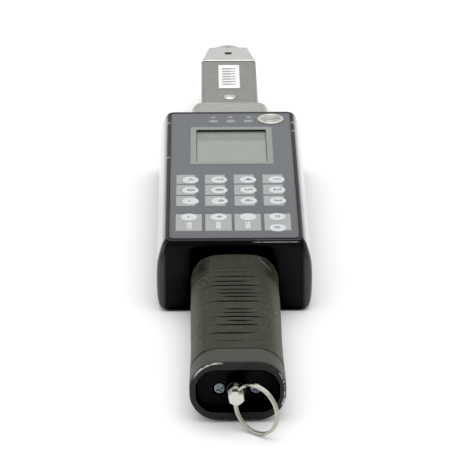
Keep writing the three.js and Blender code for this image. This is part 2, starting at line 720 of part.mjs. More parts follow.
function measuringBeam() {
  let beam = barAlongY(BEAM_WIDTH, BEAM_HEIGHT, 1, BEAM_START_Y, BEAM_END_Y, AXIS_Z, { curveSegments: 2 });
  const beamTop = AXIS_Z + BEAM_HEIGHT / 2;
  beam = beam.subtract(rodZ(PIN_RADIUS + GAP, beamTop - 4 - GAP, beamTop + 1, 0, PIN_Y));
  addPiece("measuring_beam", beam, material(0x9fa3a6, 0.35, 1));
  const side = BEAM_WIDTH / 2 + THIN_GAP;
  ["left", "right"].forEach((name, i) => {
    const inner = i === 0 ? -side - GAUGE_THICKNESS : side;
    const low = [inner, GAUGE_Y, AXIS_Z - GAUGE_HEIGHT / 2];
    const high = [inner + GAUGE_THICKNESS, GAUGE_Y + GAUGE_LENGTH, AXIS_Z + GAUGE_HEIGHT / 2];
    addPiece("strain_gauge_" + name, box(low, high), material(0xb87a3a, 0.4, 0.3));
  });
}

// Block that narrows towards the tip, with a rectangular socket and a round hole above it.
function insertHead() {
  const plan = new THREE.Shape();
  const wide = COVER_WIDTH / 2;
  const tip = HEAD_TIP_WIDTH / 2;
  plan.moveTo(-wide + 1, HEAD_START_Y);
  plan.lineTo(wide - 1, HEAD_START_Y);
  plan.lineTo(wide, HEAD_TAPER_Y);
  plan.lineTo(tip, HEAD_END_Y);
  plan.lineTo(-tip, HEAD_END_Y);
  plan.lineTo(-wide, HEAD_TAPER_Y);
  plan.closePath();
  const half = COVER_HEIGHT / 2;
  let head = solidOf(alongZ(plan, AXIS_Z - half, AXIS_Z + half));
  const roundEdge = barAlongY(COVER_WIDTH, COVER_HEIGHT, COVER_CORNER, HEAD_START_Y, HEAD_END_Y, AXIS_Z, {
    bevel: 1,
    bevelSegments: 2,
    curveSegments: 3,
  });
  head = head.intersect(roundEdge);
  const socketStart = HEAD_END_Y - SOCKET_DEPTH;
  head = head.subtract(
    box(
      [-SOCKET_WIDTH / 2 - GAP, socketStart, AXIS_Z - SOCKET_HEIGHT / 2 - GAP],
      [SOCKET_WIDTH / 2 + GAP, HEAD_END_Y + 1, AXIS_Z + SOCKET_HEIGHT / 2 + GAP],
    ),
  );
  head = head.subtract(rodZ(DETENT_HOLE_RADIUS, AXIS_Z, AXIS_Z + half + 1, 0, DETENT_Y, 20));
  addPiece("insert_head", head, material(0xc9c9c6, 0.35, 0.9));
}

// Ring-end tool whose rectangular shank fits the head's socket and holds the sprung detent pin.
function insertTool() {
  const shankStart = HEAD_END_Y - SOCKET_DEPTH + GAP;
  const shankTop = AXIS_Z + SOCKET_HEIGHT / 2;
  const shank = box(
    [-SOCKET_WIDTH / 2, shankStart, AXIS_Z - SOCKET_HEIGHT / 2],
    [SOCKET_WIDTH / 2, HEAD_END_Y + 3, shankTop],
  );
  const neck = box(
    [-NECK_WIDTH / 2, HEAD_END_Y, AXIS_Z - NECK_HEIGHT / 2],
    [NECK_WIDTH / 2, TOOL_RING_Y, AXIS_Z + NECK_HEIGHT / 2],
  );
  const ringLow = AXIS_Z - TOOL_RING_THICKNESS / 2;
  const ringHigh = AXIS_Z + TOOL_RING_THICKNESS / 2;
  const ring = rodZ(TOOL_RING_RADIUS, ringLow, ringHigh, 0, TOOL_RING_Y, 28);
  const hexagonHole = alongZ(hexagon(TOOL_HEXAGON_ACROSS_FLATS, false), ringLow - 1, ringHigh + 1);
  hexagonHole.translate(0, TOOL_RING_Y, 0);
  const wellFloor = shankTop - DETENT_WELL_DEPTH;
  const well = rodZ(DETENT_PIN_RADIUS + GAP, wellFloor, shankTop + 1, 0, DETENT_Y);
  const tool = shank.add(neck).add(ring).subtract(solidOf(hexagonHole)).subtract(well);
  addPiece("insert_tool", tool, material(0xd0d0cc, 0.25, 1));
  const pinTop = shankTop + GAP + DETENT_PIN_RISE;
  const pinLow = pinTop - DETENT_PIN_LENGTH;
  const pinProfile = [
    [0, pinLow],
    [DETENT_PIN_RADIUS, pinLow],
    [DETENT_PIN_RADIUS, pinTop - 1.1],
    [DETENT_PIN_RADIUS * 0.75, pinTop - 0.35],
    [0, pinTop],
  ];
  addPiece("detent_pin", solidOf(turnedZ(pinProfile, 14)), material(0xd8d8d4, 0.2, 1), [0, DETENT_Y, 0]);
  detentSpring(wellFloor + GAP, pinLow - GAP);
}

class CoilCurve extends THREE.Curve {
  constructor(radius, height, turns) {
    super();
    this.radius = radius;
    this.height = height;
    this.turns = turns;
  }

  getPoint(t, target = new THREE.Vector3()) {
    const angle = 2 * Math.PI * this.turns * t;
    return target.set(this.radius * Math.cos(angle), this.radius * Math.sin(angle), this.height * t);
  }
}

function detentSpring(lowZ, highZ) {
  const section = new THREE.Shape();
  const sides = 4;
  for (let i = 0; i < sides; i += 1) {
    const angle = (2 * Math.PI * i) / sides;
    const point = [SPRING_WIRE_RADIUS * Math.cos(angle), SPRING_WIRE_RADIUS * Math.sin(angle)];
    if (i === 0) {
      section.moveTo(...point);
    } else {
      section.lineTo(...point);
    }
  }
  section.closePath();
  const height = highZ - lowZ - 2 * SPRING_WIRE_RADIUS;
  const wire = new THREE.ExtrudeGeometry(section, {
    steps: 9 * SPRING_TURNS,
    extrudePath: new CoilCurve(SPRING_COIL_RADIUS, height, SPRING_TURNS),
    bevelEnabled: false,
  });
  const position = [0, DETENT_Y, lowZ + SPRING_WIRE_RADIUS];
  addPiece("detent_spring", solidOf(wire), material(0xa8a8a4, 0.3, 1), position);
}

function batteries() {
  let number = 1;
  for (const startY of CELL_START_YS) {
    for (const x of [-CELL_X, CELL_X]) {
      const endY = startY + CELL_LENGTH;
      const profile = [
        [0, startY],
        [CELL_RADIUS - 0.5, startY],
        [CELL_RADIUS, startY + 0.5],
        [CELL_RADIUS, endY - CELL_NIPPLE_LENGTH],
        [CELL_NIPPLE_RADIUS, endY - CELL_NIPPLE_LENGTH],
        [CELL_NIPPLE_RADIUS, endY],
        [0, endY],
      ];
      addPiece("battery_" + number, turnedY(profile, x, AXIS_Z, 14), material(0x2f5d8c, 0.4, 0.2));
      number += 1;
    }
  }
  const width = TUBE_WIDTH - 2 * TUBE_WALL - 2;
  const height = TUBE_HEIGHT - 2 * TUBE_WALL - 2;
  const frontStart = CELL_START_YS[1] + CELL_LENGTH + GAP;
  const front = barAlongY(width, height, 3, frontStart, frontStart + CONTACT_THICKNESS, AXIS_Z, { curveSegments: 3 });
  addPiece("battery_contact_front", front, material(0xb9a06a, 0.35, 1));
  const rearEnd = CELL_START_YS[0] - GAP;
  const rear = barAlongY(width, height, 3, rearEnd - CONTACT_THICKNESS, rearEnd, AXIS_Z, { curveSegments: 3 });
  addPiece("battery_contact_rear", rear, material(0xb9a06a, 0.35, 1));
}

housingBody();
basePlate();
fascia();
keys();
display();
lamps();
badge();
circuitBoard();
handleTube();
gripSleeve();
butt();
eyelet();
keyRing();
collar();
barCover();
measuringBeam();
insertHead();
insertTool();
batteries();

export default group;
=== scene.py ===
import math

import bmesh
import bpy
import numpy as np
from mathutils import Matrix, Vector


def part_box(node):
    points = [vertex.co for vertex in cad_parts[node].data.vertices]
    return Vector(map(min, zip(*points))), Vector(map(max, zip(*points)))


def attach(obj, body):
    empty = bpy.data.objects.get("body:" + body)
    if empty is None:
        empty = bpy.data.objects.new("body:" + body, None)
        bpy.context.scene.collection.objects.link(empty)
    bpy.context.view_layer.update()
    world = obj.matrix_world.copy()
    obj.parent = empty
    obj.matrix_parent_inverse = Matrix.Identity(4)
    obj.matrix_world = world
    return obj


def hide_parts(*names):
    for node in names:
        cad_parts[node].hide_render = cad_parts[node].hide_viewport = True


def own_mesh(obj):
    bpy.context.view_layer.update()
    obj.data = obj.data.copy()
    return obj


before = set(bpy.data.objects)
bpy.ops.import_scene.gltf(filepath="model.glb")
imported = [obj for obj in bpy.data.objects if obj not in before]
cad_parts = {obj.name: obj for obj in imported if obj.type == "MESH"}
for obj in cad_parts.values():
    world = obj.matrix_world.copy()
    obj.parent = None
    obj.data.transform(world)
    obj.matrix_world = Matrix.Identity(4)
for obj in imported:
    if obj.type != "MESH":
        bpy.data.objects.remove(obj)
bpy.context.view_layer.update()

bl_info = {
    "name": "Torque wrench with keypad",
    "version": (1, 0, 0),
    "blender": (4, 5, 0),
    "location": "View3D > Sidebar > Torque wrench",
    "description": "Builds the looks of an electronic torque wrench round its packed frame",
    "category": "Add Mesh",
}

MM = 0.001
MAIN = "wrench"
EVEN = (1, 1, 1)

# Places in millimetres in the wrench's own frame: it lies along Y with its head at the far end
AXIS_Z = 16.1
FASCIA_TOP = 37.0
CONNECTOR_X = -0.8
EYELET_Y = -218.2
CAP_FRONT_Y, CAP_BACK_Y = -213.2, -199.4
GRIP_NEAR_Y, GRIP_FAR_Y = -199.2, -92.8
COLLAR_NEAR_Y, COLLAR_FAR_Y = 92.8, 117.2
PIN_Y = 126.0
COVER_NEAR_Y, COVER_FAR_Y = 117.5, 183.3
HEAD_NEAR_Y, HEAD_FAR_Y = 184.6, 206.6
DETENT_Y = 196.6
RING_Y = 230.5
BADGE_X, BADGE_Y = 21.8, 74.5
DISPLAY_Y, LAMP_Y, LABEL_Y = 37.1, 71.7, 157.6

# Sizes in millimetres that no user setting changes
BORE = (19.35, 12.65)
BAR_HALF = (15.9, 14.0, 2.6)
SCREW_RADIUS, SCREW_RIM = 2.75, 0.25
KEY_RING_DROP, KEY_RING_YAW = 3.2, -38
TOOL_RADIUS, TOOL_HALF, TOOL_FLATS = 7.6, 4.0, 9.1
SLOT_HALF, SLOT_REACH = 0.36, 1.6
DETENT_TRAVEL, COIL_WIRE, COIL_TURNS = 1.9, 0.22, 4.5

# The floor, in metres, and the camera, in degrees, metres and millimetres of focal length
FLOOR_STEPS, FLOOR_DEPTH = 41, 0.0002
CAMERA_ELEVATION, CAMERA_HEADING = 24, 0.773
CAMERA_PLACE = (-0.017111, -1.469731, 0.653841)
CAMERA_LENS = 229.8


def linear(red, green, blue):
    """A display colour of 0 to 255 a channel as the linear colour that shaders use."""
    share = np.array([red, green, blue]) / 255
    curve = np.where(share <= 0.04045, share / 12.92, ((share + 0.055) / 1.055) ** 2.4)
    return tuple(float(c) for c in curve)


def length_property(name, description, millimetres):
    return bpy.props.FloatProperty(
        name=name,
        description=description,
        default=millimetres * MM,
        min=0.0,
        subtype="DISTANCE",
        unit="LENGTH",
    )


def colour_property(name, description, *display):
    return bpy.props.FloatVectorProperty(
        name=name,
        description=description,
        default=linear(*display),
        min=0.0,
        max=1.0,
        size=3,
        subtype="COLOR",
    )


class WrenchSizes(bpy.types.PropertyGroup):
    """Sizes of the wrench's pieces that a user may change."""

    housing_half_width: length_property("Housing half width", "Middle to side at the top edge", 34.4)
    housing_half_length: length_property("Housing half length", "Middle to end at the top edge", 87.1)
    housing_corner: length_property("Housing corner", "Radius of the upright corners", 3.4)
    grip_width: length_property("Grip width", "Across the sleeve at its middle", 43.8)
    grip_height: length_property("Grip height", "Thickness of the sleeve", 30.6)
    groove_depth: length_property("Groove depth", "Deepest part of a grip groove", 1.0)
    groove_width: length_property("Groove width", "Half width at half depth of a grip groove", 0.56)
    cap_width: length_property("Cap width", "Across the end cap at its front", 45.2)
    cap_rounding: length_property("Cap rounding", "Radius of the end cap's outer edge", 1.5)
    ring_radius: length_property("Split ring radius", "To the middle of the wire's section", 12.0)
    key_radius: length_property("Key radius", "Radius of a key cap", 4.45)
    key_rounding: length_property("Key rounding", "Radius of a key cap's upper edge", 0.7)
    collar_rounding: length_property("Collar rounding", "Radius of the collar's far edge", 1.8)
    cover_rounding: length_property("Cover rounding", "Radius of the bar cover's far edges", 0.9)
    digit_height: length_property("Digit height", "Height of the marks printed on the keys", 4.2)


class WrenchColours(bpy.types.PropertyGroup):
    """Colours of the wrench's finishes that a user may change."""

    paint: colour_property("Housing paint", "Gloss paint of the housing", 6, 6, 7)
    rubber: colour_property("Grip rubber", "Rubber of the grip sleeve", 54, 53, 44)
    fascia: colour_property("Fascia film", "Printed film round the keys", 96, 98, 101)
    fascia_print: colour_property("Fascia print", "Lighter rectangles round the keys", 156, 158, 156)
    key: colour_property("Key film", "Key caps", 200, 202, 203)
    glass: colour_property("Display glass", "Unlit display", 135, 141, 131)
    steel: colour_property("Bright steel", "Head, tool and eyelet", 222, 221, 218)
    cover: colour_property("Bar cover", "Bead-blasted cover of the bar", 152, 153, 146)


def sizes():
    return bpy.context.scene.torque_wrench_sizes


def millimetres(name):
    return getattr(sizes(), name) / MM


def colour(name):
    return tuple(getattr(bpy.context.scene.torque_wrench_colours, name))


# Shapes worked out in millimetres


def rounded_path(points, radius, steps=5, closed=False):
    """A path whose corners are rounded: each corner P becomes (1-t)^2 A + 2t(1-t) P + t^2 B,
    with A and B on its two legs at the radius, or half way along a shorter leg."""
    points = np.asarray(points, float)
    radius = np.broadcast_to(np.asarray(radius, float), len(points)).reshape(-1, 1)
    legs = np.roll(points, -1, 0) - points
    lengths = np.maximum(np.linalg.norm(legs, axis=1, keepdims=True), 1e-9)
    unit = legs / lengths
    before = points - np.roll(unit, 1, 0) * np.minimum(radius, np.roll(lengths, 1, 0) / 2)
    after = points + unit * np.minimum(radius, lengths / 2)
    t = np.linspace(0, 1, steps + 1)[None, :, None]
    curve = (1 - t) ** 2 * before[:, None] + 2 * t * (1 - t) * points[:, None] + t**2 * after[:, None]
    if closed:
        path = curve.reshape(-1, points.shape[1])
    else:
        path = np.concatenate([points[:1], curve[1:-1].reshape(-1, points.shape[1]), points[-1:]])
    moved = np.linalg.norm(np.diff(path, axis=0), axis=1) > 1e-6
    return path[np.concatenate([[True], moved])]


def smooth_path(points, steps=5):
    """A curve through all points: between two of them the Catmull-Rom cubic of the four nearest."""
    points = np.asarray(points, float)
    padded = np.concatenate([2 * points[:1] - points[1:2], points, 2 * points[-1:] - points[-2:-1]])
    a, b, c, d = padded[:-3, None], padded[1:-2, None], padded[2:-1, None], padded[3:, None]
    t = (np.arange(steps) / steps)[None, :, None]
    square, cube = 2 * a - 5 * b + 4 * c - d, 3 * b - a - 3 * c + d
    curve = 0.5 * (2 * b + (c - a) * t + square * t**2 + cube * t**3)
    return np.concatenate([curve.reshape(-1, points.shape[1]), points[-1:]])


def rounded_rectangle(half_width, half_height, radius, corner=10, side=3):
    """Outlines of rectangles with quarter-circle corners, one row for each size:
    corner centre + radius (cos a, sin a), with the straight sides cut into equal steps.
    Returns across, up and the outward direction at each point."""
    given = (half_width, half_height, radius)
    sizes_given = [np.asarray(size, float).reshape(-1, 1) for size in given]
    half_width, half_height, radius = np.broadcast_arrays(*sizes_given)
    step = corner + 1
    angle = np.radians(np.arange(4)[:, None] * 90 + np.linspace(0, 90, step)).ravel()
    sign_x = np.repeat([1, -1, -1, 1], step)
    sign_z = np.repeat([1, 1, -1, -1], step)
    across = sign_x * (half_width - radius) + radius * np.cos(angle)
    up = sign_z * (half_height - radius) + radius * np.sin(angle)
    quarter = np.arange(4)[:, None] * step
    cuts = np.zeros((4, side - 1), int) + quarter + corner
    first = np.concatenate([quarter + np.arange(step), cuts], axis=1).ravel()
    second = np.concatenate([quarter + np.arange(step), (cuts + 1) % (4 * step)], axis=1).ravel()
    share = np.tile(np.concatenate([np.zeros(step), np.arange(1, side) / side]), 4)
    normal_x = np.cos(angle)[first] * np.ones_like(across[:, :1])
    normal_z = np.sin(angle)[first] * np.ones_like(across[:, :1])
    return (
        across[:, first] * (1 - share) + across[:, second] * share,
        up[:, first] * (1 - share) + up[:, second] * share,
        normal_x,
        normal_z,
    )


def grid_faces(rows, columns, closed_rows=False):
    """Four-cornered faces between neighbouring points of a grid that closes round its columns."""
    index = np.arange(rows * columns).reshape(rows, columns)
    beside = np.roll(index, -1, 1)
    quads = np.stack([index, beside, np.roll(beside, -1, 0), np.roll(index, -1, 0)], -1)
    return (quads if closed_rows else quads[:-1]).reshape(-1, 4)


def surface(points, closed=False, ends=False):
    """A skin over a grid of points whose rows close on themselves. Its last row may join its
    first, or both may be filled."""
    rows, columns = points.shape[:2]
    faces = [grid_faces(rows, columns, closed)]
    if ends:
        faces += [np.arange(columns)[None, :], (np.arange(columns) + (rows - 1) * columns)[None, :]]
    return points.reshape(-1, 3), faces


def shell(across, up, along, axis="y", centre=(0, 0), closed=False):
    """A closed skin from rows of outlines: the rows lie one after another along the axis.
    It is capped at both ends, or its last row joins its first."""
    along = np.broadcast_to(along, across.shape)
    if axis == "y":
        points = np.stack([across + centre[0], along, up + centre[1]], -1)
    else:
        points = np.stack([across + centre[0], up + centre[1], along], -1)
    return surface(points, closed, ends=not closed)


def stack(rows, axis="y", centre=(0, 0), closed=False, corner=10, side=3):
    """Rounded rectangles set one after another. A row is half width, half height, corner, place."""
    rows = np.asarray(rows, float)
    across, up, _, _ = rounded_rectangle(rows[:, 0], rows[:, 1], rows[:, 2], corner, side)
    return shell(across, up, rows[:, 3:4], axis, centre, closed)


def turned(profile, axis="z", centre=(0, 0), segments=72, closed=False):
    """A profile of radius and place carried round an axis: centre + radius (cos a, sin a)."""
    profile = np.asarray(profile, float)
    angle = np.linspace(0, 2 * np.pi, segments, endpoint=False)
    return shell(
        profile[:, :1] * np.cos(angle),
        profile[:, :1] * np.sin(angle),
        profile[:, 1:2],
        axis,
        centre,
        closed,
    )


def soft_band(distance, half, soft):
    """1 within half of nothing, 0 outside, with a straight slope of width soft between."""
    return np.clip((half - np.abs(distance)) / soft + 0.5, 0, 1)


def disc_rings(radius, edge, count, start):
    """Radii of a disc's rings and how far each falls: flat, then a quarter circle round the edge."""
    bend = np.linspace(start, np.pi / 2, 6)
    radii = np.concatenate([np.linspace(0, radius - edge, count), radius - edge + edge * np.sin(bend)])
    return radii, np.concatenate([np.zeros(count), edge - edge * np.cos(bend)])


def with_foot(across, up, height, foot):
    """The rings of a disc, then its last ring and its middle at the height of its foot."""
    return (
        np.concatenate([across, across[-1:], 0 * across[-1:]]),
        np.concatenate([up, up[-1:], 0 * up[-1:]]),
        np.concatenate([height, foot + 0 * height[:2]]),
    )


def polygon_radius(angle, flats, across_flats, power=46):
    """Distance to a regular polygon with slightly rounded corners:
    (sum of |cos(a - b) / apothem|^power over its flats' directions b)^(-1/power)."""
    directions = np.arange(flats) * 2 * np.pi / flats
    facing = np.maximum(np.cos(angle[:, None] - directions), 0) / (across_flats / 2)
    return (facing**power).sum(1) ** (-1 / power)


def mesh_from(name, shells, groove=None):
    """One mesh of several shells given in millimetres, doubles merged and faces turned outwards."""
    mesh = bpy.data.meshes.new(name)
    points, loops, counts, offset = [], [], [], 0
    for shell_points, face_sets in shells:
        points.append(shell_points)
        for faces in face_sets:
            loops.append((faces + offset).ravel())
            counts.append(np.full(len(faces), faces.shape[1]))
        offset += len(shell_points)
    points, loops, counts = np.concatenate(points), np.concatenate(loops), np.concatenate(counts)
    mesh.vertices.add(len(points))
    mesh.vertices.foreach_set("co", (points * MM).astype(np.float32).ravel())
    mesh.loops.add(len(loops))
    mesh.loops.foreach_set("vertex_index", loops.astype(np.int32))
    mesh.polygons.add(len(counts))
    mesh.polygons.foreach_set("loop_start", (np.cumsum(counts) - counts).astype(np.int32))
    mesh.update(calc_edges=True)
    if groove is not None:
        mesh.attributes.new("groove", "FLOAT", "POINT").data.foreach_set("value", groove.astype(np.float32))
    work = bmesh.new()
    work.from_mesh(mesh)
    bmesh.ops.remove_doubles(work, verts=work.verts, dist=3e-6)
    bmesh.ops.recalc_face_normals(work, faces=work.faces)
    work.to_mesh(mesh)
    work.free()
    return mesh


def link(name, mesh):
    piece = bpy.data.objects.new(name, mesh)
    bpy.context.scene.collection.objects.link(piece)
    return piece


def evaluated_mesh(piece):
    return bpy.data.meshes.new_from_object(piece.evaluated_get(bpy.context.evaluated_depsgraph_get()))


def combined(piece, other_shells, operation):
    """The piece after a solid made of the shells is cut from it or joined to it."""
    other = link(piece.name + "_tool", mesh_from(piece.name + "_tool", [other_shells]))
    step = piece.modifiers.new(operation.title(), "BOOLEAN")
    step.operation = operation
    step.solver = "EXACT"
    step.object = other
    bpy.context.view_layer.update()
    result = evaluated_mesh(piece)
    piece.modifiers.clear()
    piece.data = result
    bpy.data.objects.remove(other)


def make(name, shells, finish, nodes=(), body=MAIN, cuts=(), joins=(), sharp=33.0, even=True, groove=None):
    """A finished piece: its mesh, smooth faces with sharp corners kept, material and body."""
    piece = link(name, mesh_from(name, shells, groove))
    for other in joins:
        combined(piece, other, "UNION")
    for other in cuts:
        combined(piece, other, "DIFFERENCE")
    mesh = piece.data
    mesh.name = name
    mesh.shade_smooth()
    mesh.set_sharp_from_angle(angle=math.radians(sharp))
    mesh.materials.clear()
    mesh.materials.append(material_of(finish))
    if even:
        step = piece.modifiers.new("Even shading", "WEIGHTED_NORMAL")
        step.keep_sharp = True
        step.weight = 50
    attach(piece, body)
    if nodes:
        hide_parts(*nodes)
    return piece


def box_of(node):
    """Lowest and highest corner of a frame node in millimetres."""
    low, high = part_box(node)
    return np.array(low) / MM, np.array(high) / MM


# Materials


class Value:
    """One number of a node tree. Arithmetic on it adds Math nodes."""

    def __init__(self, look, socket):
        self.look = look
        self.socket = socket

    def maths(self, operation, *others, clamp=False):
        inputs = dict(enumerate((self, *others)))
        return self.look.value("ShaderNodeMath", {"operation": operation, "use_clamp": clamp}, inputs)

    def __add__(self, other):
        return self.maths("ADD", other)

    __radd__ = __add__

    def __sub__(self, other):
        return self.maths("SUBTRACT", other)

    def __rsub__(self, other):
        return self.look.value("ShaderNodeMath", {"operation": "SUBTRACT"}, {0: other, 1: self})

    def __mul__(self, other):
        return self.maths("MULTIPLY", other)

    __rmul__ = __mul__

    def __truediv__(self, other):
        return self.maths("DIVIDE", other)

    def __pow__(self, other):
        return self.maths("POWER", other)

    def __abs__(self):
        return self.maths("ABSOLUTE")

    def root(self):
        return self.maths("SQRT")

    def most(self, other):
        return self.maths("MAXIMUM", other)

    def fraction(self):
        return self.maths("FRACT")

    def clamped(self):
        return self.maths("ADD", 0.0, clamp=True)

    def above(self, edge, soft):
        """0 well below the edge, 1 well above it, with a straight slope of width soft between."""
        return ((self - edge) / soft + 0.5).clamped()

    def band(self, centre, half, soft):
        """1 within half of the centre, 0 outside, with a straight slope of width soft."""
        return ((half - abs(self - centre)) / soft + 0.5).clamped()


class Look:
    """A material under construction. Places are in millimetres in the wrench's own frame."""

    def __init__(self, name):
        self.material = bpy.data.materials.new(name)
        self.material.use_nodes = True
        self.tree = self.material.node_tree
        self.tree.nodes.clear()
        self.output = self.tree.nodes.new("ShaderNodeOutputMaterial")
        inputs = {0: self.node("ShaderNodeTexCoord").outputs["Object"], "Scale": 1 / MM}
        self.place = self.node("ShaderNodeVectorMath", {"operation": "SCALE"}, inputs).outputs[0]
        parts = self.node("ShaderNodeSeparateXYZ", None, {0: self.place})
        self.x, self.y, self.z = (Value(self, socket) for socket in parts.outputs)

    def node(self, kind, settings=None, inputs=None):
        """A node of any type: settings first, then the values or links of its sockets."""
        made = self.tree.nodes.new(kind)
        for key, setting in (settings or {}).items():
            setattr(made, key, setting)
        for key, given in (inputs or {}).items():
            socket = given.socket if isinstance(given, Value) else given
            if isinstance(socket, bpy.types.NodeSocket):
                self.tree.links.new(socket, made.inputs[key])
            else:
                made.inputs[key].default_value = given
        return made

    def value(self, kind, settings=None, inputs=None, output=0):
        return Value(self, self.node(kind, settings, inputs).outputs[output])

    def vector(self, operation, first, second):
        return self.node("ShaderNodeVectorMath", {"operation": operation}, {0: first, 1: second}).outputs[0]

    def stretched(self, size, stretch, shift):
        """The place divided by a size in millimetres, longer along the stretched directions."""
        scaled = self.vector("MULTIPLY", self.place, tuple(1 / (size * s) for s in stretch))
        return self.vector("ADD", scaled, (shift, shift, shift)) if shift else scaled

    def noise(self, size, detail=3.0, rough=0.55, shift=0.0, stretch=EVEN):
        inputs = {"Vector": self.stretched(size, stretch, shift), "Scale": 1.0}
        return self.value("ShaderNodeTexNoise", None, {**inputs, "Detail": detail, "Roughness": rough})

    def specks(self, size, share, shift=0.0):
        """Scattered round specks: 1 where the distance to a cell's point is under the share."""
        inputs = {"Vector": self.stretched(size, EVEN, shift), "Scale": 1.0}
        return 1 - self.value("ShaderNodeTexVoronoi", None, inputs).above(share, share * 0.5)

    def scratches(self, size, stretch, share, shift=0.0):
        """Thin broken lines: narrow bands of a stretched noise round its middle value."""
        line = self.noise(size, 1.0, 0.4, shift, stretch).band(0.5, 0.004, 0.006)
        return line * self.noise(size * 0.6, 2.0, 0.5, shift + 7.0).above(1 - share, 0.08)

    def edges(self, radius):
        """How near a corner is: the turn between the face's direction and the rounded corner's."""
        soft = self.node("ShaderNodeBevel", {"samples": 4}, {"Radius": radius * MM}).outputs[0]
        flat = self.node("ShaderNodeNewGeometry").outputs["Normal"]
        settings = {"operation": "DOT_PRODUCT"}
        turn = self.value("ShaderNodeVectorMath", settings, {0: soft, 1: flat}, "Value")
        return (1 - turn).above(0.06, 0.1)

    def mix(self, first, second, share):
        """The first colour where the share is 0, the second where it is 1."""
        given = [(*c, 1.0) if isinstance(c, tuple) and len(c) == 3 else c for c in (first, second)]
        inputs = {0: share, 6: given[0], 7: given[1]}
        return self.node("ShaderNodeMix", {"data_type": "RGBA"}, inputs).outputs[2]

    def layered(self, base, *layers):
        """The base colour under layers, each a colour and its share."""
        for tone, share in layers:
            base = self.mix(base, tone, share)
        return base

    def bump(self, height, depth):
        """Relief of that depth in millimetres where the height runs from 0 to 1."""
        inputs = {"Height": height, "Distance": depth * MM, "Strength": 1.0}
        return self.node("ShaderNodeBump", None, inputs).outputs[0]

    def finish(self, **inputs):
        """The surface itself, from the Principled shader's own sockets."""
        given = {key.replace("_", " ").title().replace("Ior", "IOR"): item for key, item in inputs.items()}
        shader = self.node("ShaderNodeBsdfPrincipled", None, given)
        self.tree.links.new(shader.outputs[0], self.output.inputs[0])
        return self.material


def any_band(value, centres, half, soft):
    """1 within half of any of the centres."""
    first, *others = (value.band(centre, half, soft) for centre in centres)
    for other in others:
        first = first.most(other)
    return first


def shade(base, share):
    """A colour made darker or lighter by a factor."""
    return tuple(min(1.0, float(c) * share) for c in base[:3])


def metal(name, base, roughness, grain, stretch, depth, stain, edge, metallic=1.0, gap_shade=None):
    """Machined or blasted metal: grain along the stretch, stains, scratches and polished corners.
    The gap shade is a place along Y and the side of it that is painted near-black as painted shade beside a
    gap."""
    look = Look(name)
    fine = look.noise(grain, 4.0, 0.6, stretch=stretch)
    cloud = look.noise(9.0, 4.0, 0.6, 3.0)
    marks = look.scratches(5.0, (1, 3, 1), 0.45, 11.0).most(look.scratches(4.0, (3, 1, 2), 0.4, 23.0))
    dull = cloud.above(0.56, 0.3) * stain
    tone = look.layered(
        shade(base, 0.9),
        (shade(base, 1.06), fine),
        (shade(base, 0.6), dull),
        (shade(base, 0.45), marks * 0.55),
    )
    rough = roughness + (fine - 0.5) * 0.18 + dull * 0.3 + marks * 0.15
    if edge:
        worn = look.edges(edge) * look.noise(1.6, 3.0, 0.6, 5.0).above(0.42, 0.3)
        tone = look.mix(tone, shade(base, 1.35), worn * 0.7)
        rough = rough - worn * 0.12
    if gap_shade:
        place, side = gap_shade
        # Painted shade: the metal on that side of the place is darkened to near-black
        beyond = look.y.above(place, 0.25)
        tone = look.mix(tone, shade(base, 0.05), beyond if side > 0 else 1 - beyond)
    normal = look.bump(fine - marks * 0.8, depth)
    return look.finish(base_color=tone, roughness=rough.most(0.06), metallic=metallic, normal=normal)


def plastic(name, base, roughness, grain=0.35, depth=0.01, dust=0.3, **more):
    """Moulded or painted plastic: fine grain, cloudy dust and a few scratches."""
    look = Look(name)
    fine = look.noise(grain, 3.0, 0.6)
    cloud = look.noise(14.0, 4.0, 0.6, 2.0).above(0.5, 0.4)
    marks = look.scratches(7.0, (1, 2, 1), 0.4, 5.0)
    tone = look.layered(
        shade(base, 0.92),
        (shade(base, 1.05), fine),
        (shade(base, 1.25), cloud * dust * 0.5),
        (shade(base, 1.7), marks * 0.35),
    )
    rough = roughness + cloud * dust * 0.2 + (fine - 0.5) * 0.1 + marks * 0.15
    normal = look.bump(fine - marks * 0.6, depth)
    return look.finish(base_color=tone, roughness=rough, normal=normal, **more)


def housing_paint():
    """Black gloss paint with orange peel, dust, and bare metal where the top edge is chipped."""
    look = Look("housing_paint")
    base = colour("paint")
    peel = look.noise(1.6, 2.0, 0.5)
    cloud = look.noise(16.0, 4.0, 0.6, 4.0).above(0.52, 0.4)
    marks = look.scratches(9.0, (1, 2.5, 1), 0.42, 3.0).most(look.scratches(6.0, (2, 1, 3), 0.4, 17.0))
    edge = look.z.band(36.15, 0.55, 0.5)
    spots = [(34.0, 70.9, 1.2), (34.0, 58.7, 1.0), (-33.9, 71.0, 0.9), (-34.3, 21.7, 0.8)]
    local = look.z * 0.0
    for spot_x, spot_y, reach in spots:
        local = local.most(look.x.band(spot_x, 1.6, 0.8) * look.y.band(spot_y, reach, 1.2))
    lines = look.y.band(-87.5, 0.12, 0.2).most(look.y.band(-86.2, 0.08, 0.2) * 0.8)
    rear = look.x.band(21.0, 11.0, 3.0) * lines
    grain = look.noise(1.5, 4.0, 0.7, 8.0)
    chipped = (local * grain.above(0.38, 0.1)).most(rear * grain.above(0.4, 0.12))
    bare = edge * chipped.most(grain.above(0.71, 0.05))
    tone = look.layered(
        base,
        (shade(base, 3.0), cloud * 0.35),
        (shade(base, 16.0), marks * 0.35),
        (linear(176, 177, 178), bare),
    )
    normal = look.bump(peel - bare * 0.8, 0.012)
    return look.finish(
        base_color=tone,
        metallic=bare,
        roughness=0.14 + cloud * 0.08 + marks * 0.15 + bare * 0.15,
        coat_weight=abs(look.x).above(35.0, 1.5) * (1 - bare),
        normal=normal,
        specular_ior_level=0.26,
    )


def base_paint():
    return plastic("base_paint", linear(34, 35, 37), 0.55, 0.3, 0.03, 0.4)


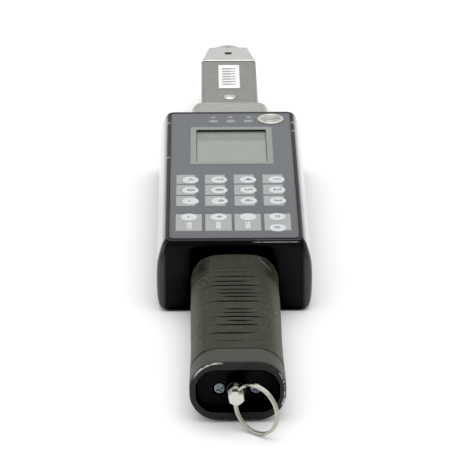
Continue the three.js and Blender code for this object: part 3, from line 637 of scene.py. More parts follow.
def fascia_film():
    """Grey film with lighter printed rectangles, bars and lamp signs, and a fine leather grain. It carries
    painted shade: darker towards its near end, dark along its edge and sides beside the gap to the rim, and
    near-black across its far end.
    """
    look = Look("fascia_film")
    base, light = colour("fascia"), colour("fascia_print")
    x, y = look.x, look.y
    columns = x.band(-24.4, 4.9, 0.25).most(any_band(x, (-9.2, 5.9, 20.9), 5.2, 0.25))
    rows = y.band(-9.2, 5.9, 0.25).most(y.band(-23.35, 6.45, 0.25)).most(y.band(-37.9, 6.3, 0.25))
    foot = x.band(-22.8, 6.6, 0.25).most(any_band(x, (-7.75, 7.05, 22.15), 6.65, 0.25))
    foot = foot * y.band(-65.35, 10.45, 0.25)
    patches = (columns * rows).most(foot)
    bars = any_band(x, (-22.6, -7.8, 7.1), 1.25, 0.3)
    broken = look.noise(0.8, 1.0, 0.5, 4.0, stretch=(1, 2, 1)).above(0.4, 0.2)
    bars = bars * (y / 1.15).fraction().band(0.5, 0.24, 0.3) * y.band(-69.0, 4.2, 0.15) * broken
    signs = x * 0.0
    for centre in (-9.5, 0.0, 9.8):
        reach = ((x - centre) ** 2 + (y - 78.0) ** 2).root()
        signs = signs.most(reach.band(0.95, 0.17, 0.2)).most(reach.band(0.0, 0.3, 0.2))
    # Dark line along the film's edge: partly a printed border, partly painted shade of the gap to the
    # housing rim
    border_and_gap_shade = abs(x).band(32.15, 0.18, 0.2).most(abs(y).band(84.5, 0.2, 0.2)) * 0.7
    # Painted shade: the film's sides, which stand in the gap to the rim, are painted dark
    rim = 1 - look.z.above(36.55, 0.3)
    fine = look.noise(0.34, 3.0, 0.6)
    cloud = look.noise(18.0, 4.0, 0.6, 6.0)
    marks = look.scratches(8.0, (1, 2, 1), 0.4, 9.0)
    tone = look.layered(
        shade(base, 0.9),
        (shade(base, 1.08), (fine * 0.5 + cloud * 0.7 - 0.1).clamped()),
        # Painted shade: the film darkens towards its near end
        (shade(base, 0.78), 1 - y.above(-45.0, 80.0)),
        (look.mix(shade(light, 0.93), shade(light, 1.05), fine), patches),
        (linear(232, 233, 232), bars),
        (linear(190, 192, 194), signs * 0.8),
        (linear(52, 53, 56), border_and_gap_shade.most(rim)),
        # Painted shade: a near-black band across the film's far end
        (linear(13, 13, 14), y.above(83.2, 0.3)),
        (linear(190, 191, 193), marks * 0.3),
    )
    normal = look.bump(fine + patches * 0.3, 0.012)
    return look.finish(base_color=tone, roughness=0.42 + cloud * 0.14 + marks * 0.1, normal=normal)


def key_film():
    """Satin key caps with a worn, slightly darker middle, and painted shade on their sides below the
    fascia.
    """
    look = Look("key_film")
    base = colour("key")
    fine = look.noise(0.3, 3.0, 0.6)
    cloud = look.noise(3.2, 3.0, 0.6, 4.0)
    # Painted shade: the cap's side below the fascia top, where it stands in its hole
    side = 1 - look.z.above(FASCIA_TOP, 0.25)
    tone = look.layered(
        shade(base, 0.94),
        (shade(base, 1.04), fine),
        (shade(base, 0.85), cloud.above(0.55, 0.3) * 0.4),
        (shade(base, 0.45), side * 0.8),
    )
    return look.finish(base_color=tone, roughness=0.38 + cloud * 0.15, normal=look.bump(fine, 0.006))


def key_ink():
    """Dark print of the marks on the keys, slightly rubbed."""
    look = Look("key_ink")
    rub = look.noise(0.5, 4.0, 0.65).above(0.66, 0.15)
    tone = look.mix(linear(98, 99, 102), linear(160, 161, 163), rub * 0.7)
    return look.finish(base_color=tone, roughness=0.5 + rub * 0.2)


def display_frame_film():
    """Pale satin bezel. The window's wall is painted near-black, partly a dark gasket and partly painted
    shade inside the recess.
    """
    look = Look("display_frame_film")
    fine = look.noise(0.3, 3.0, 0.6)
    cloud = look.noise(10.0, 4.0, 0.6, 2.0)
    window = abs(look.x).band(0.0, 20.5, 0.2) * look.y.band(DISPLAY_Y, 24.5, 0.2)
    # Partly a dark gasket, partly painted shade in the window's recess
    gasket_and_shade = (1 - look.z.above(36.8, 0.12)) * window
    tone = look.layered(
        linear(128, 131, 127),
        (linear(142, 145, 141), (fine * 0.5 + cloud * 0.5).clamped()),
        (linear(22, 23, 24), gasket_and_shade),
    )
    return look.finish(base_color=tone, roughness=0.4 + cloud * 0.12, normal=look.bump(fine, 0.008))


def display_glass():
    """Unlit display under clear glass: faint rows of segments and a darker band along its far edge."""
    look = Look("display_glass")
    base = colour("glass")
    x, y = look.x, look.y
    # A darker band along the far edge of the glass
    head = y.above(46.2, 2.6)
    cells = (x / 0.85).fraction().band(0.5, 0.42, 0.08) * (y / 0.85).fraction().band(0.5, 0.42, 0.08)
    rows = (y / 7.6).fraction().band(0.5, 0.36, 0.03) * abs(x).band(0.0, 16.5, 0.3)
    cloud = look.noise(12.0, 3.0, 0.6, 2.0)
    specks = look.specks(2.4, 0.05, 5.0)
    tone = look.layered(
        shade(base, 0.97),
        (shade(base, 1.04), cloud),
        (shade(base, 0.975), cells * rows),
        (shade(base, 0.7), head * 0.9),
        (linear(205, 207, 204), specks * 0.4),
    )
    smear = look.noise(9.0, 4.0, 0.7, 12.0, stretch=(1, 2.4, 1)).above(0.55, 0.3)
    coat = (0.6 - smear * 0.3).clamped()
    return look.finish(base_color=tone, roughness=0.2 + smear * 0.16, coat_weight=coat, coat_roughness=0.03)


def display_module():
    return plastic("display_module", linear(176, 180, 176), 0.5, 0.4, 0.02, 0.2)


def lamp_lens():
    """Milky lamp windows with a brighter middle and a fine grain."""
    look = Look("lamp_lens")
    reach = (look.x / 9.55 + 0.5).fraction().band(0.5, 0.15, 0.2) * look.y.band(LAMP_Y, 1.0, 1.2)
    fine = look.noise(0.3, 3.0, 0.6)
    tone = look.mix(linear(122, 123, 126), linear(150, 151, 153), reach * 0.8 + fine * 0.2)
    return look.finish(base_color=tone, roughness=0.25 + fine * 0.2, normal=look.bump(fine, 0.004))


def badge_metal():
    """Turned pale metal disc."""
    look = Look("badge_metal")
    reach = ((look.x - BADGE_X) ** 2 + (look.y - BADGE_Y) ** 2).root()
    inputs = {"W": reach * 6.0, "Scale": 1.0, "Detail": 2.0}
    rings = look.value("ShaderNodeTexNoise", {"noise_dimensions": "1D"}, inputs)
    cloud = look.noise(4.0, 3.0, 0.6, 4.0)
    tone = look.layered(
        linear(160, 162, 154),
        (linear(204, 206, 198), rings),
        (linear(226, 227, 220), reach.band(6.2, 0.5, 0.3) * 0.8),
        (linear(120, 122, 118), cloud.above(0.6, 0.2) * 0.5),
    )
    normal = look.bump(rings, 0.006)
    return look.finish(base_color=tone, metallic=0.75, roughness=0.3 + rings * 0.12, normal=normal)


def eyelet_steel():
    """Bright plated steel with fine turning lines, painted shade on its upper facets towards +X, and a dull
    cross hole painted dark as shade.
    """
    look = Look("eyelet_steel")
    lines = look.noise(0.5, 4.0, 0.6, stretch=(1, 5, 1))
    reach = ((look.x - CONNECTOR_X) ** 2 + (look.y - EYELET_Y) ** 2).root()
    # Painted shade inside the cross hole, which is also rougher
    bore = 1 - reach.above(2.1, 0.5)
    # Painted shade on the upper facets towards +X
    upper_facet_shade = look.z.above(AXIS_Z + 2.2, 1.0)
    tone = look.layered(
        linear(196, 195, 187),
        (linear(226, 225, 217), lines),
        (linear(150, 147, 134), upper_facet_shade * look.x.above(CONNECTOR_X + 0.8, 0.4) * 0.8),
        (linear(40, 37, 32), bore * 0.95),
    )
    rough = 0.14 + lines * 0.1 + bore * 0.3
    return look.finish(base_color=tone, metallic=0.25, roughness=rough, normal=look.bump(lines, 0.004))


def grip_rubber():
    """Worn black rubber: fine pores, painted sheen along the sides, painted shade in the grooves, a painted
    highlight near the far right corner and mottled far corners.
    """
    look = Look("grip_rubber")
    base = colour("rubber")
    pores = look.noise(0.34, 4.0, 0.65)
    skin = look.noise(1.5, 3.0, 0.6, 3.0)
    cloud = look.noise(13.0, 4.0, 0.6, 5.0)
    # Painted sheen: the sleeve's sides are lightened in patches
    side = abs(look.x).above(17.5, 4.0)
    far = look.y.above(-118.0, 76.0)
    spots = look.noise(3.4, 4.0, 0.65, 9.0).above(0.47, 0.12)
    stain = spots * abs(look.x).above(14.5, 4.0) * look.y.above(-116.0, 14.0)
    cuts = look.scratches(4.5, (1, 3, 1), 0.5, 2.0) * abs(look.x).above(12.0, 6.0)
    tone = look.layered(
        shade(base, 0.85),
        (shade(base, 1.15), pores),
        (shade(base, 1.5), cloud.above(0.5, 0.4) * 0.35),
        (shade(base, 0.55), far * 0.75),
        # Painted sheen along the sides
        (shade(base, 2.3), side * skin.above(0.35, 0.4) * 0.6),
        (shade(base, 0.3), stain * 0.8),
    )
    groove = look.value("ShaderNodeAttribute", {"attribute_name": "groove"}, None, "Fac")
    blotch = look.noise(4.2, 4.0, 0.7, 15.0, stretch=(0.7, 1.6, 1))
    tone = look.layered(
        tone,
        (shade(base, 1.45), blotch.above(0.55, 0.2) * 0.3),
        (shade(base, 0.55), (1 - blotch).above(0.57, 0.2) * 0.35),
        # Painted shade in the grooves
        (shade(base, 0.04), groove.above(0.2, 0.2) * 0.97),
        (linear(150, 150, 142), cuts * 0.5),
    )
    corner_left = look.x.band(-16.5, 2.2, 3.5) * look.y.band(-104.0, 6.0, 7.0)
    corner_right = look.x.band(18.2, 1.8, 3.0) * look.y.band(-107.0, 6.0, 7.0)
    patch = corner_left.most(corner_right) * skin.above(0.38, 0.3)
    tone = look.mix(tone, shade(base, 0.12), patch * 0.8)
    # Painted highlight: a thin bright line near the far right corner
    painted_highlight = (look.y + look.x * 0.9).band(-87.6, 0.25, 0.5) * look.x.band(15.6, 3.0, 1.5)
    tone = look.mix(tone, linear(168, 168, 160), painted_highlight * 0.6)
    rough = 0.56 + cloud * 0.12 - side * 0.1 + stain * 0.1 + (pores - 0.5) * 0.15
    normal = look.bump(pores * 0.6 + skin * 0.4, 0.035)
    return look.finish(base_color=tone, roughness=rough, normal=normal, specular_ior_level=0.22)


def end_ring_paint():
    """Dark painted metal cap, rubbed through to bright metal along the front edge, with painted shade on
    its upright front face and inside its recess.
    """
    look = Look("end_ring_paint")
    fine = look.noise(0.4, 4.0, 0.6)
    cloud = look.noise(7.0, 4.0, 0.6, 3.0)
    front = 1 - look.y.above(CAP_FRONT_Y + 0.3, 0.5)
    # Painted shade on the upright front face
    face = 1 - look.y.above(CAP_FRONT_Y + 1.0, 0.8)
    beyond_x, beyond_z = (abs(look.x) - 8.6).most(0.0), (abs(look.z - AXIS_Z) - 1.3).most(0.0)
    inward = 14.0 - (beyond_x**2 + beyond_z**2).root()
    outer = inward.band(0.75, 0.4, 0.35)
    left = look.x.band(-14.5, 6.5, 4.0) * look.z.above(24.0, 4.0)
    right = look.x.above(19.5, 1.5) * look.z.band(17.0, 9.0, 4.0)
    grain = look.noise(1.7, 4.0, 0.7, 8.0)
    chipped = (left * grain.above(0.42, 0.1)).most(right * grain.above(0.5, 0.12))
    bare = front * outer * chipped.most(grain.above(0.7, 0.06))
    tone = look.layered(
        linear(49, 48, 44),
        (linear(65, 64, 58), fine * 0.5 + cloud * 0.4),
        # Painted shade on the front face
        (linear(33, 33, 31), face),
    )
    # Painted shade inside the recess behind the rim
    inside = look.y.band(CAP_FRONT_Y + 2.6, 2.3, 0.3)
    recess_shade = inward.above(2.9, 0.3) * inside
    tone = look.layered(
        tone,
        (linear(6, 6, 7), recess_shade * 0.9),
        (linear(190, 190, 187), bare),
    )
    rough = 0.42 + cloud * 0.12 - bare * 0.1
    normal = look.bump(fine - bare * 0.6, 0.012)
    return look.finish(
        base_color=tone, metallic=bare, roughness=rough, normal=normal, specular_ior_level=0.35
    )


def end_plate_plastic():
    return plastic("end_plate_plastic", linear(5, 5, 7), 0.3, 0.4, 0.01, 0.3, specular_ior_level=0.2)


def board_laminate():
    """Green laminate with copper tracks seen through the varnish."""
    look = Look("board_laminate")
    broken = look.noise(9.0, 1.0, stretch=(1, 5, 1)).above(0.5, 0.05)
    tracks = (look.x / 2.54).fraction().band(0.5, 0.12, 0.06) * broken
    pads = look.specks(2.54, 0.22)
    tone = look.layered(
        linear(26, 78, 48),
        (linear(52, 112, 66), tracks),
        (linear(196, 176, 128), pads),
    )
    normal = look.bump(tracks + pads, 0.03)
    return look.finish(base_color=tone, roughness=0.35 + pads * 0.1, metallic=pads * 0.8, normal=normal)


def gauge_foil():
    """Foil gauge: thin folded lines on an amber carrier."""
    look = Look("gauge_foil")
    lines = (look.z / 0.6).fraction().band(0.5, 0.2, 0.08)
    tone = look.mix(linear(186, 140, 66), linear(120, 116, 110), lines)
    return look.finish(base_color=tone, roughness=0.4, metallic=lines * 0.8, normal=look.bump(lines, 0.01))


def battery_wrap():
    """Cell in shrink wrap with a pale band and steel ends."""
    look = Look("battery_wrap")
    place = ((look.y + 204.6) / 51.4).fraction()
    end = 1 - place.band(0.49, 0.46, 0.01)
    band = place.band(0.2, 0.1, 0.01)
    fine = look.noise(0.8, 3.0, stretch=(1, 6, 1))
    tone = look.layered(
        linear(38, 62, 104),
        (linear(52, 78, 122), fine),
        (linear(196, 196, 192), band),
        (linear(186, 184, 178), end),
    )
    normal = look.bump(fine, 0.01)
    return look.finish(base_color=tone, roughness=0.3 + fine * 0.12, metallic=end, normal=normal)


def label_film():
    """White label with rows of plain grey ticks across it."""
    look = Look("label_film")
    x, y = look.x, look.y
    broad = (y / 4.1).fraction().band(0.5, 0.17, 0.12)
    slim = ((y + 1.2) / 4.1).fraction().band(0.5, 0.07, 0.08)
    tall = x.band(-0.2, 3.9, 0.3)
    short = x.band(-1.6, 2.4, 0.3)
    ticks = (broad * tall).most(slim * short) * y.band(LABEL_Y, 15.0, 0.2)
    ticks = ticks * look.noise(0.9, 2.0, 0.6, 2.0).above(0.33, 0.15)
    cloud = look.noise(5.0, 4.0, 0.6, 4.0)
    lines = abs(x).band(5.5, 0.09, 0.1) * 0.5
    tone = look.layered(
        linear(240, 240, 238),
        (linear(226, 226, 222), cloud),
        (linear(78, 78, 78), (ticks * 0.85).most(lines * 0.4)),
    )
    return look.finish(base_color=tone, roughness=0.4 + cloud * 0.15, normal=look.bump(cloud, 0.01))


def floor_paper():
    """Matt white studio floor with a faint unevenness."""
    look = Look("floor_paper")
    cloud = look.noise(180.0, 3.0, 0.5)
    tone = look.mix(linear(247, 247, 246), linear(250, 250, 249), cloud)
    return look.finish(base_color=tone, roughness=0.75 + cloud * 0.05, specular_ior_level=0.2)


# Colour, roughness, grain size, its stretch, relief, stains, worn edges, metallic, painted shade beside a
# gap
METALS = {
    "screw_steel": ((152, 154, 157), 0.32, 0.3, EVEN, 0.006, 0.3, 0.2),
    "tube_metal": ((150, 151, 152), 0.35, 0.3, (1, 12, 1), 0.004, 0.3, 0.0),
    "end_screw_steel": ((128, 134, 139), 0.34, 0.25, EVEN, 0.006, 0.3, 0.25),
    "boss_metal": ((78, 73, 70), 0.3, 0.2, (6, 1, 6), 0.005, 0.5, 0.0),
    "ring_steel": ((188, 184, 174), 0.17, 0.25, EVEN, 0.006, 0.5, 0.0),
    "collar_metal": ((188, 189, 184), 0.34, 0.3, (8, 1, 8), 0.004, 0.35, 0.35),
    "pin_steel": ((214, 213, 208), 0.3, 0.3, EVEN, 0.004, 0.2, 0.2),
    "beam_steel": ((140, 142, 144), 0.35, 0.3, (1, 10, 1), 0.005, 0.3, 0.0),
    "tool_steel": ((222, 222, 219), 0.3, 0.28, (1, 4, 1), 0.006, 0.35, 0.3),
    "cover_metal": ("cover", 0.42, 0.22, (1, 2, 1), 0.008, 0.25, 0.3, 0.85, (COVER_FAR_Y - 0.5, 1)),
    "head_steel": ("steel", 0.3, 0.26, (1, 6, 1), 0.006, 0.3, 0.4, 1.0, (HEAD_NEAR_Y + 0.15, -1)),
    "contact_metal": ((190, 186, 170), 0.25, 0.3, EVEN, 0.004, 0.2, 0.0),
}
MADE = {}


def material_of(finish):
    """The material of a finish, made when it is first asked for."""
    if finish not in MADE:
        if finish in METALS:
            base, *rest = METALS[finish]
            MADE[finish] = metal(finish, colour(base) if isinstance(base, str) else linear(*base), *rest)
        else:
            MADE[finish] = FINISHES[finish]()
    return MADE[finish]


FINISHES = {
    made.__name__: made
    for made in (
        housing_paint,
        base_paint,
        fascia_film,
        key_film,
        key_ink,
        display_frame_film,
        display_glass,
        display_module,
        lamp_lens,
        badge_metal,
        grip_rubber,
        eyelet_steel,
        end_ring_paint,
        end_plate_plastic,
        board_laminate,
        gauge_foil,
        battery_wrap,
        label_film,
    )
}
CARRIED_OVER = {
    "base_plate": "base_paint",
    "keypad_fascia": "fascia_film",
    "display_glass": "display_glass",
    "display_module": "display_module",
    "circuit_board": "board_laminate",
    "handle_tube": "tube_metal",
    "end_plate": "end_plate_plastic",
    "label": "label_film",
    "measuring_beam": "beam_steel",
    **{f"strain_gauge_{side}": "gauge_foil" for side in ("left", "right")},
    "detent_pin": "tool_steel",
    **{f"battery_{number}": "battery_wrap" for number in range(1, 5)},
    **{f"battery_contact_{side}": "contact_metal" for side in ("front", "rear")},
}


# Pieces


class CarriedOverFinishes(bpy.types.Operator):
    """Gives each frame node that stays visible its own material"""

    bl_idname = "torque_wrench.carried_over_finishes"
    bl_label = "Finishes of plain pieces"

    def execute(self, context):
        for node, finish in CARRIED_OVER.items():
            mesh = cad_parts[node].data
            mesh.materials.clear()
            mesh.materials.append(material_of(finish))
        return {"FINISHED"}


# Height, then how far the side and the ends bulge past the top edge
HOUSING_LEVELS = [
    (0, 0.2, 3.9),
    (0.8, 2.3, 4.9),
    (2.4, 3.5, 5.1),
    (6, 4.3, 4.8),
    (10.7, 4.65, 4.3),
    (15.5, 4.75, 3.7),
    (20, 4.7, 3.1),
    (25, 4.3, 2.35),
    (29.3, 3.35, 1.65),
    (33.6, 2, 0.9),
    (35.6, 0.8, 0.4),
    (36.4, 0.1, 0.0),
]
# Half width, half length, corner radius and height of the rim, the cavity and the lower lip
HOUSING_INSIDE = [
    (34.45, 87.05, 3.4, 36.5),
    (34.15, 86.75, 3.3, 36.66),
    (33.7, 86.3, 3.2, 36.7),
    (33.1, 85.5, 2.9, 36.7),
    (32.85, 85.25, 2.6, 36.55),
    (32.8, 85.2, 2.55, 35.9),
    (32.8, 85.2, 2.55, 35.7),
    (30.2, 82.0, 3.0, 35.7),
    (30.2, 82.0, 3.0, 33.5),
    (31.4, 83.3, 3.0, 33.5),
    (35.9, 83.3, 1.5, 15.0),
    (33.7, 83.3, 1.2, 0.3),
    (34.0, 83.6, 1.2, 0.0),
]


class Housing(bpy.types.Operator):
    """Hollow painted housing with bulging sides, a rim round the fascia and a passage for the tube"""

    bl_idname = "torque_wrench.housing"
    bl_label = "Housing"

    def execute(self, context):
        half_x, half_y = millimetres("housing_half_width"), millimetres("housing_half_length")
        corner = millimetres("housing_corner")
        level = smooth_path(HOUSING_LEVELS, 5)
        outside = np.stack(
            [half_x + level[:, 1], half_y + level[:, 2], corner + 0 * level[:, 0], level[:, 0]], axis=1
        )
        rows = np.concatenate([outside, HOUSING_INSIDE])
        passage = stack([(19.5, 12.8, 6.3, -96), (19.5, 12.8, 6.3, 96)], "y", (0, AXIS_Z))
        body = stack(rows, "z", closed=True, corner=8, side=8)
        make("housing", [body], "housing_paint", ["housing_body"], cuts=[passage])
        return {"FINISHED"}


# Place along the grip, strength, middle and half length of each groove
GROOVES = [
    (-106.6, 0.15, 0.0, 10.0),
    (-109.9, 0.2, 0.0, 10.0),
    (-114.3, 0.25, -1.0, 9.0),
    (-119.6, 0.7, -0.6, 9.0),
    (-125.0, 0.95, -2.4, 7.5),
    (-129.6, 1.0, -1.0, 10.0),
    (-134.2, 0.7, 0.0, 8.0),
    (-138.2, 1.0, 0.6, 8.5),
    (-142.2, 0.95, 2.0, 7.5),
    (-147.3, 1.0, 0.0, 11.0),
    (-156.3, 0.9, 0.7, 5.5),
    (-160.3, 0.8, 1.0, 7.0),
    (-164.7, 1.0, 1.7, 9.5),
    (-169.1, 1.0, 1.4, 5.0),
    (-173.5, 0.95, 0.6, 8.5),
    (-182.2, 1.0, -2.2, 8.5),
    (-190.6, 0.25, -3.0, 6.0),
]


class Grip(bpy.types.Operator):
    """Rubber sleeve with cross grooves that are deepest near its shoulders"""

    bl_idname = "torque_wrench.grip"
    bl_label = "Grip sleeve"

    def execute(self, context):
        start, end = GRIP_NEAR_Y, GRIP_FAR_Y
        y = np.linspace(start, end, 420)
        from_end = np.minimum(y - start, end - y)
        rounding = 1.4
        near = np.clip(rounding - from_end, 0, rounding)
        inset = rounding - np.sqrt(np.maximum(rounding**2 - near**2, 0))
        flare = 0.45 * np.clip(1 - (y - start) / 16, 0, 1) ** 2
        half_x = millimetres("grip_width") / 2 + flare - inset
        half_z = millimetres("grip_height") / 2 + flare * 0.5 - inset
        across, up, side_x, side_z = rounded_rectangle(half_x, half_z, 13.0 - inset, 16, 12)
        ripple = 0.12 * np.sin(across * 0.9) + 0.1 * np.sin(across * 2.3 + 1.0)
        depth = np.zeros_like(across)
        width = millimetres("groove_width")
        below = np.clip((up + 13.5) / 4.0, 0, 1)
        for place, strength, middle, reach in GROOVES:
            share = 0.13 + (strength - 0.05) * np.exp(-(((across - middle) / reach) ** 4))
            share *= np.where(up > 0, 1.0, 0.5) * (0.9 + 0.1 * np.sin(across * 1.7 + place))
            depth += share * np.exp(-(((y[:, None] - place + ripple) / width) ** 2))
        depth *= millimetres("groove_depth") * below
        swell = 0.1 * np.sin(y[:, None] * 0.11 + 1.0) * np.cos(across * 0.16)
        groove = np.clip(depth / millimetres("groove_depth"), 0, 1)
        depth = depth - swell * np.clip(from_end[:, None] / 5, 0, 1)
        crown = 0.7 * np.clip(1 - (across / 15) ** 2, 0, 1) * (y[:, None] - start) / (end - start)
        depth = depth - crown * np.clip(up / 6, 0, 1)
        across, up = across - side_x * depth, up - side_z * depth
        along = np.broadcast_to(y[:, None], across.shape)
        bore_x, bore_z, _, _ = rounded_rectangle([BORE[0]] * 2, [BORE[1]] * 2, 6.15, 16, 12)
        bore_y = np.broadcast_to(np.array([[end - 0.05], [start + 0.05]]), bore_x.shape)
        across, up = np.concatenate([across, bore_x]), np.concatenate([up, bore_z])
        along = np.concatenate([along, bore_y])
        sleeve = shell(across, up, along, "y", (0, AXIS_Z), closed=True)
        values = np.concatenate([groove, np.zeros_like(bore_x)]).ravel()
        make("grip", [sleeve], "grip_rubber", ["grip_sleeve"], sharp=60, even=False, groove=values)
        return {"FINISHED"}


class EndCap(bpy.types.Operator):
    """Painted cap with a rounded rim and a recess for the end plate"""

    bl_idname = "torque_wrench.end_cap"
    bl_label = "End cap"

    def execute(self, context):
        half = millimetres("cap_width") / 2
        round_edge = millimetres("cap_rounding")
        corners = [
            (half - 0.15, 15.3, 13.9, CAP_BACK_Y),
            (half, 15.3, 14.0, CAP_FRONT_Y),
            (19.5, 10.95, 9.5, CAP_FRONT_Y),
            (19.5, 10.95, 9.5, CAP_FRONT_Y + 4.7),
            (*BORE, 6.3, CAP_FRONT_Y + 4.9),
            (*BORE, 6.3, CAP_BACK_Y - 0.1),
        ]
        rows = rounded_path(corners, [0.2, round_edge, 0.5, 0.0, 0.1, 0.3], 6, closed=True)
        cap = stack(rows, "y", (0, AXIS_Z), True, 16, 6)
        make("end_cap", [cap], "end_ring_paint", ["end_ring"])
        return {"FINISHED"}


def cross_screw(name, node, finish, facing, thickness, dome, slot_depth=0.8):
    """A screw head from its centre out: height = dome (1 - (r/R)^2), less a cross whose depth is
    the larger of two crossed bars with soft edges; the rim is a quarter circle down to the seat."""
    low, high = box_of(node)
    centre = (low + high) / 2
    r, drop = disc_rings(SCREW_RADIUS, SCREW_RIM, 34, 0.2)
    angle = np.linspace(0, 2 * np.pi, 128, endpoint=False) + 0.5
    u, v = r[:, None] * np.cos(angle), r[:, None] * np.sin(angle)
    turned_u, turned_v = 0.91 * u + 0.41 * v, 0.91 * v - 0.41 * u
    cross = np.maximum(
        soft_band(turned_u, SLOT_HALF, 0.14) * soft_band(turned_v, SLOT_REACH, 0.4),
        soft_band(turned_v, SLOT_HALF, 0.14) * soft_band(turned_u, SLOT_REACH, 0.4),
    )
    height = dome * (1 - (r[:, None] / SCREW_RADIUS) ** 2) - drop[:, None] - slot_depth * cross
    u, v, height = with_foot(u, v, height, -thickness)
    if facing == "y":
        points = np.stack([centre[0] + u, low[1] + dome - height, centre[2] + v], -1)
    else:
        points = np.stack([centre[0] + u, centre[1] + v, low[2] + dome - height], -1)
    make(name, [surface(points)], finish, [node], sharp=40, even=False)


class Screws(bpy.types.Operator):
    """Two cross-head screws of the end plate and four of the base plate"""

    bl_idname = "torque_wrench.screws"
    bl_label = "Screws"

    def execute(self, context):
        for side in ("left", "right"):
            cross_screw(f"end_screw_head_{side}", f"end_screw_{side}", "end_screw_steel", "y", 1.9, 0.45)
        for number in range(1, 5):
            names = f"base_screw_head_{number}", f"base_screw_{number}"
            cross_screw(*names, "screw_steel", "z", 2.2, 0.0, slot_depth=1.3)
        return {"FINISHED"}


class Boss(bpy.types.Operator):
    """Turned socket between the end plate and the eyelet"""

    bl_idname = "torque_wrench.boss"
    bl_label = "Connector boss"

    def execute(self, context):
        low, high = box_of("connector_boss")
        front, back = low[1], high[1]
        floor = front + 2.6
        corners = [(4.6, back), (4.6, front), (3.75, front), (3.5, floor), (2.25, floor), (2.25, back)]
        profile = rounded_path(corners, [0, 0.45, 0.35, 0.3, 0.1, 0], 5, closed=True)
        boss = turned(profile, "y", (CONNECTOR_X, AXIS_Z), 96, closed=True)
        make("boss", [boss], "boss_metal", ["connector_boss"])
        return {"FINISHED"}


class Eyelet(bpy.types.Operator):
    """Hexagonal eyelet with turned ends, a stud and a waisted cross hole"""

    bl_idname = "torque_wrench.eyelet"
    bl_label = "Hexagonal eyelet"

    def execute(self, context):
        corners = np.array(
            [(0.0, -2.6), (3.35, -2.6), (4.1, -2.0), (4.1, 3.2), (3.35, 3.8), (2.0, 3.8), (2.0, 7.3)]
        )
        corners[:, 1] += EYELET_Y
        limit = rounded_path(corners, [0, 0.25, 0, 0, 0.2, 0.1, 0], 5)
        limit = np.concatenate([limit, [[0.0, EYELET_Y + 7.3]]])
        angle = np.linspace(0, 2 * np.pi, 144, endpoint=False)
        hexagon = polygon_radius(angle, 6, 7.0)
        reach = ((limit[:, :1] + 1e-6) ** -24 + hexagon[None, :] ** -24) ** (-1 / 24)
        reach[limit[:, 0] == 0] = 0
        tilt = math.radians(10)
        across, up = reach * np.cos(angle + tilt), reach * np.sin(angle + tilt)
        body = shell(across, up, limit[:, 1:2], "y", (CONNECTOR_X, AXIS_Z))
        t = np.linspace(-1, 1, 25)
        hole = np.stack([1.6 + 1.25 * np.abs(t) ** 2.4, AXIS_Z + 4.3 * t], axis=1)
        bore = turned(hole, "z", (CONNECTOR_X, EYELET_Y), 48)
        make("eyelet", [body], "eyelet_steel", ["hex_eyelet"], cuts=[bore], sharp=38)
        return {"FINISHED"}


class SplitRing(bpy.types.Operator):
    """Two-turn split ring whose wire steps from one turn to the other"""

    bl_idname = "torque_wrench.split_ring"
    bl_label = "Split ring"

    def execute(self, context):
        gap, rise = 0.028, 0.51
        s = np.linspace(gap, 2 - gap, 361)
        step = np.clip((s - (1 - gap)) / (2 * gap), 0, 1)
        offset = rise * (2 * step**2 * (3 - 2 * step) - 1)
        section_r, section_a, _, _ = rounded_rectangle(0.72, 0.485, 0.36, 4, 2)
        taper = np.clip(np.minimum(s - gap, 2 - gap - s) / 0.004, 0.3, 1) ** 0.5
        radius = millimetres("ring_radius") + section_r * taper[:, None]
        axial = offset[:, None] + section_a * taper[:, None]
        angle = (2 * np.pi * s + 1.9)[:, None]
        x, z = radius * np.cos(angle), radius * np.sin(angle)
        centre = math.sqrt(millimetres("ring_radius") ** 2 - KEY_RING_DROP**2)
        yaw = math.radians(KEY_RING_YAW)
        flat = x + centre
        points = np.stack(
            [
                flat * math.cos(yaw) - axial * math.sin(yaw) + CONNECTOR_X,
                flat * math.sin(yaw) + axial * math.cos(yaw) + EYELET_Y,
                z - KEY_RING_DROP + AXIS_Z,
            ],
            -1,
        )
        wire = surface(points, ends=True)
        make("split_ring", [wire], "ring_steel", ["key_ring"], "key_ring", sharp=45, even=False)
        return {"FINISHED"}


# Signs of the keys, one string for each row of the pad, with a space where a key is plain or missing
MARK_ROWS = ("<741", "0852", "-963", "-+ =", "   o")
MARKS = {
    f"key_row{row}_{column}": mark
    for row, marks in enumerate(MARK_ROWS, 1)
    for column, mark in enumerate(marks, 1)
    if mark != " "
}


def printed_mark(text, key, centre, top):
    """A thin flat mark standing on a key, its top towards +X."""
    curve = bpy.data.curves.new(key + "_text", "FONT")
    curve.body = text
    curve.size = millimetres("digit_height") * 1.35 * MM
    curve.align_x = "CENTER"
    curve.align_y = "CENTER"
    curve.extrude = 0.03 * MM
    curve.offset = 0.00006
    holder = link(key + "_text", curve)
    bpy.context.view_layer.update()
    mesh = evaluated_mesh(holder)
    bpy.data.objects.remove(holder)
    place = Matrix.Translation((centre[0] * MM, centre[1] * MM, top * MM))
    mesh.transform(place @ Matrix(((0, 1, 0, 0), (-1, 0, 0, 0), (0, 0, 1, 0), (0, 0, 0, 1))))
    mesh.materials.clear()
    mesh.materials.append(material_of("key_ink"))
    mark = link(key + "_mark", mesh)
    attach(mark, key)


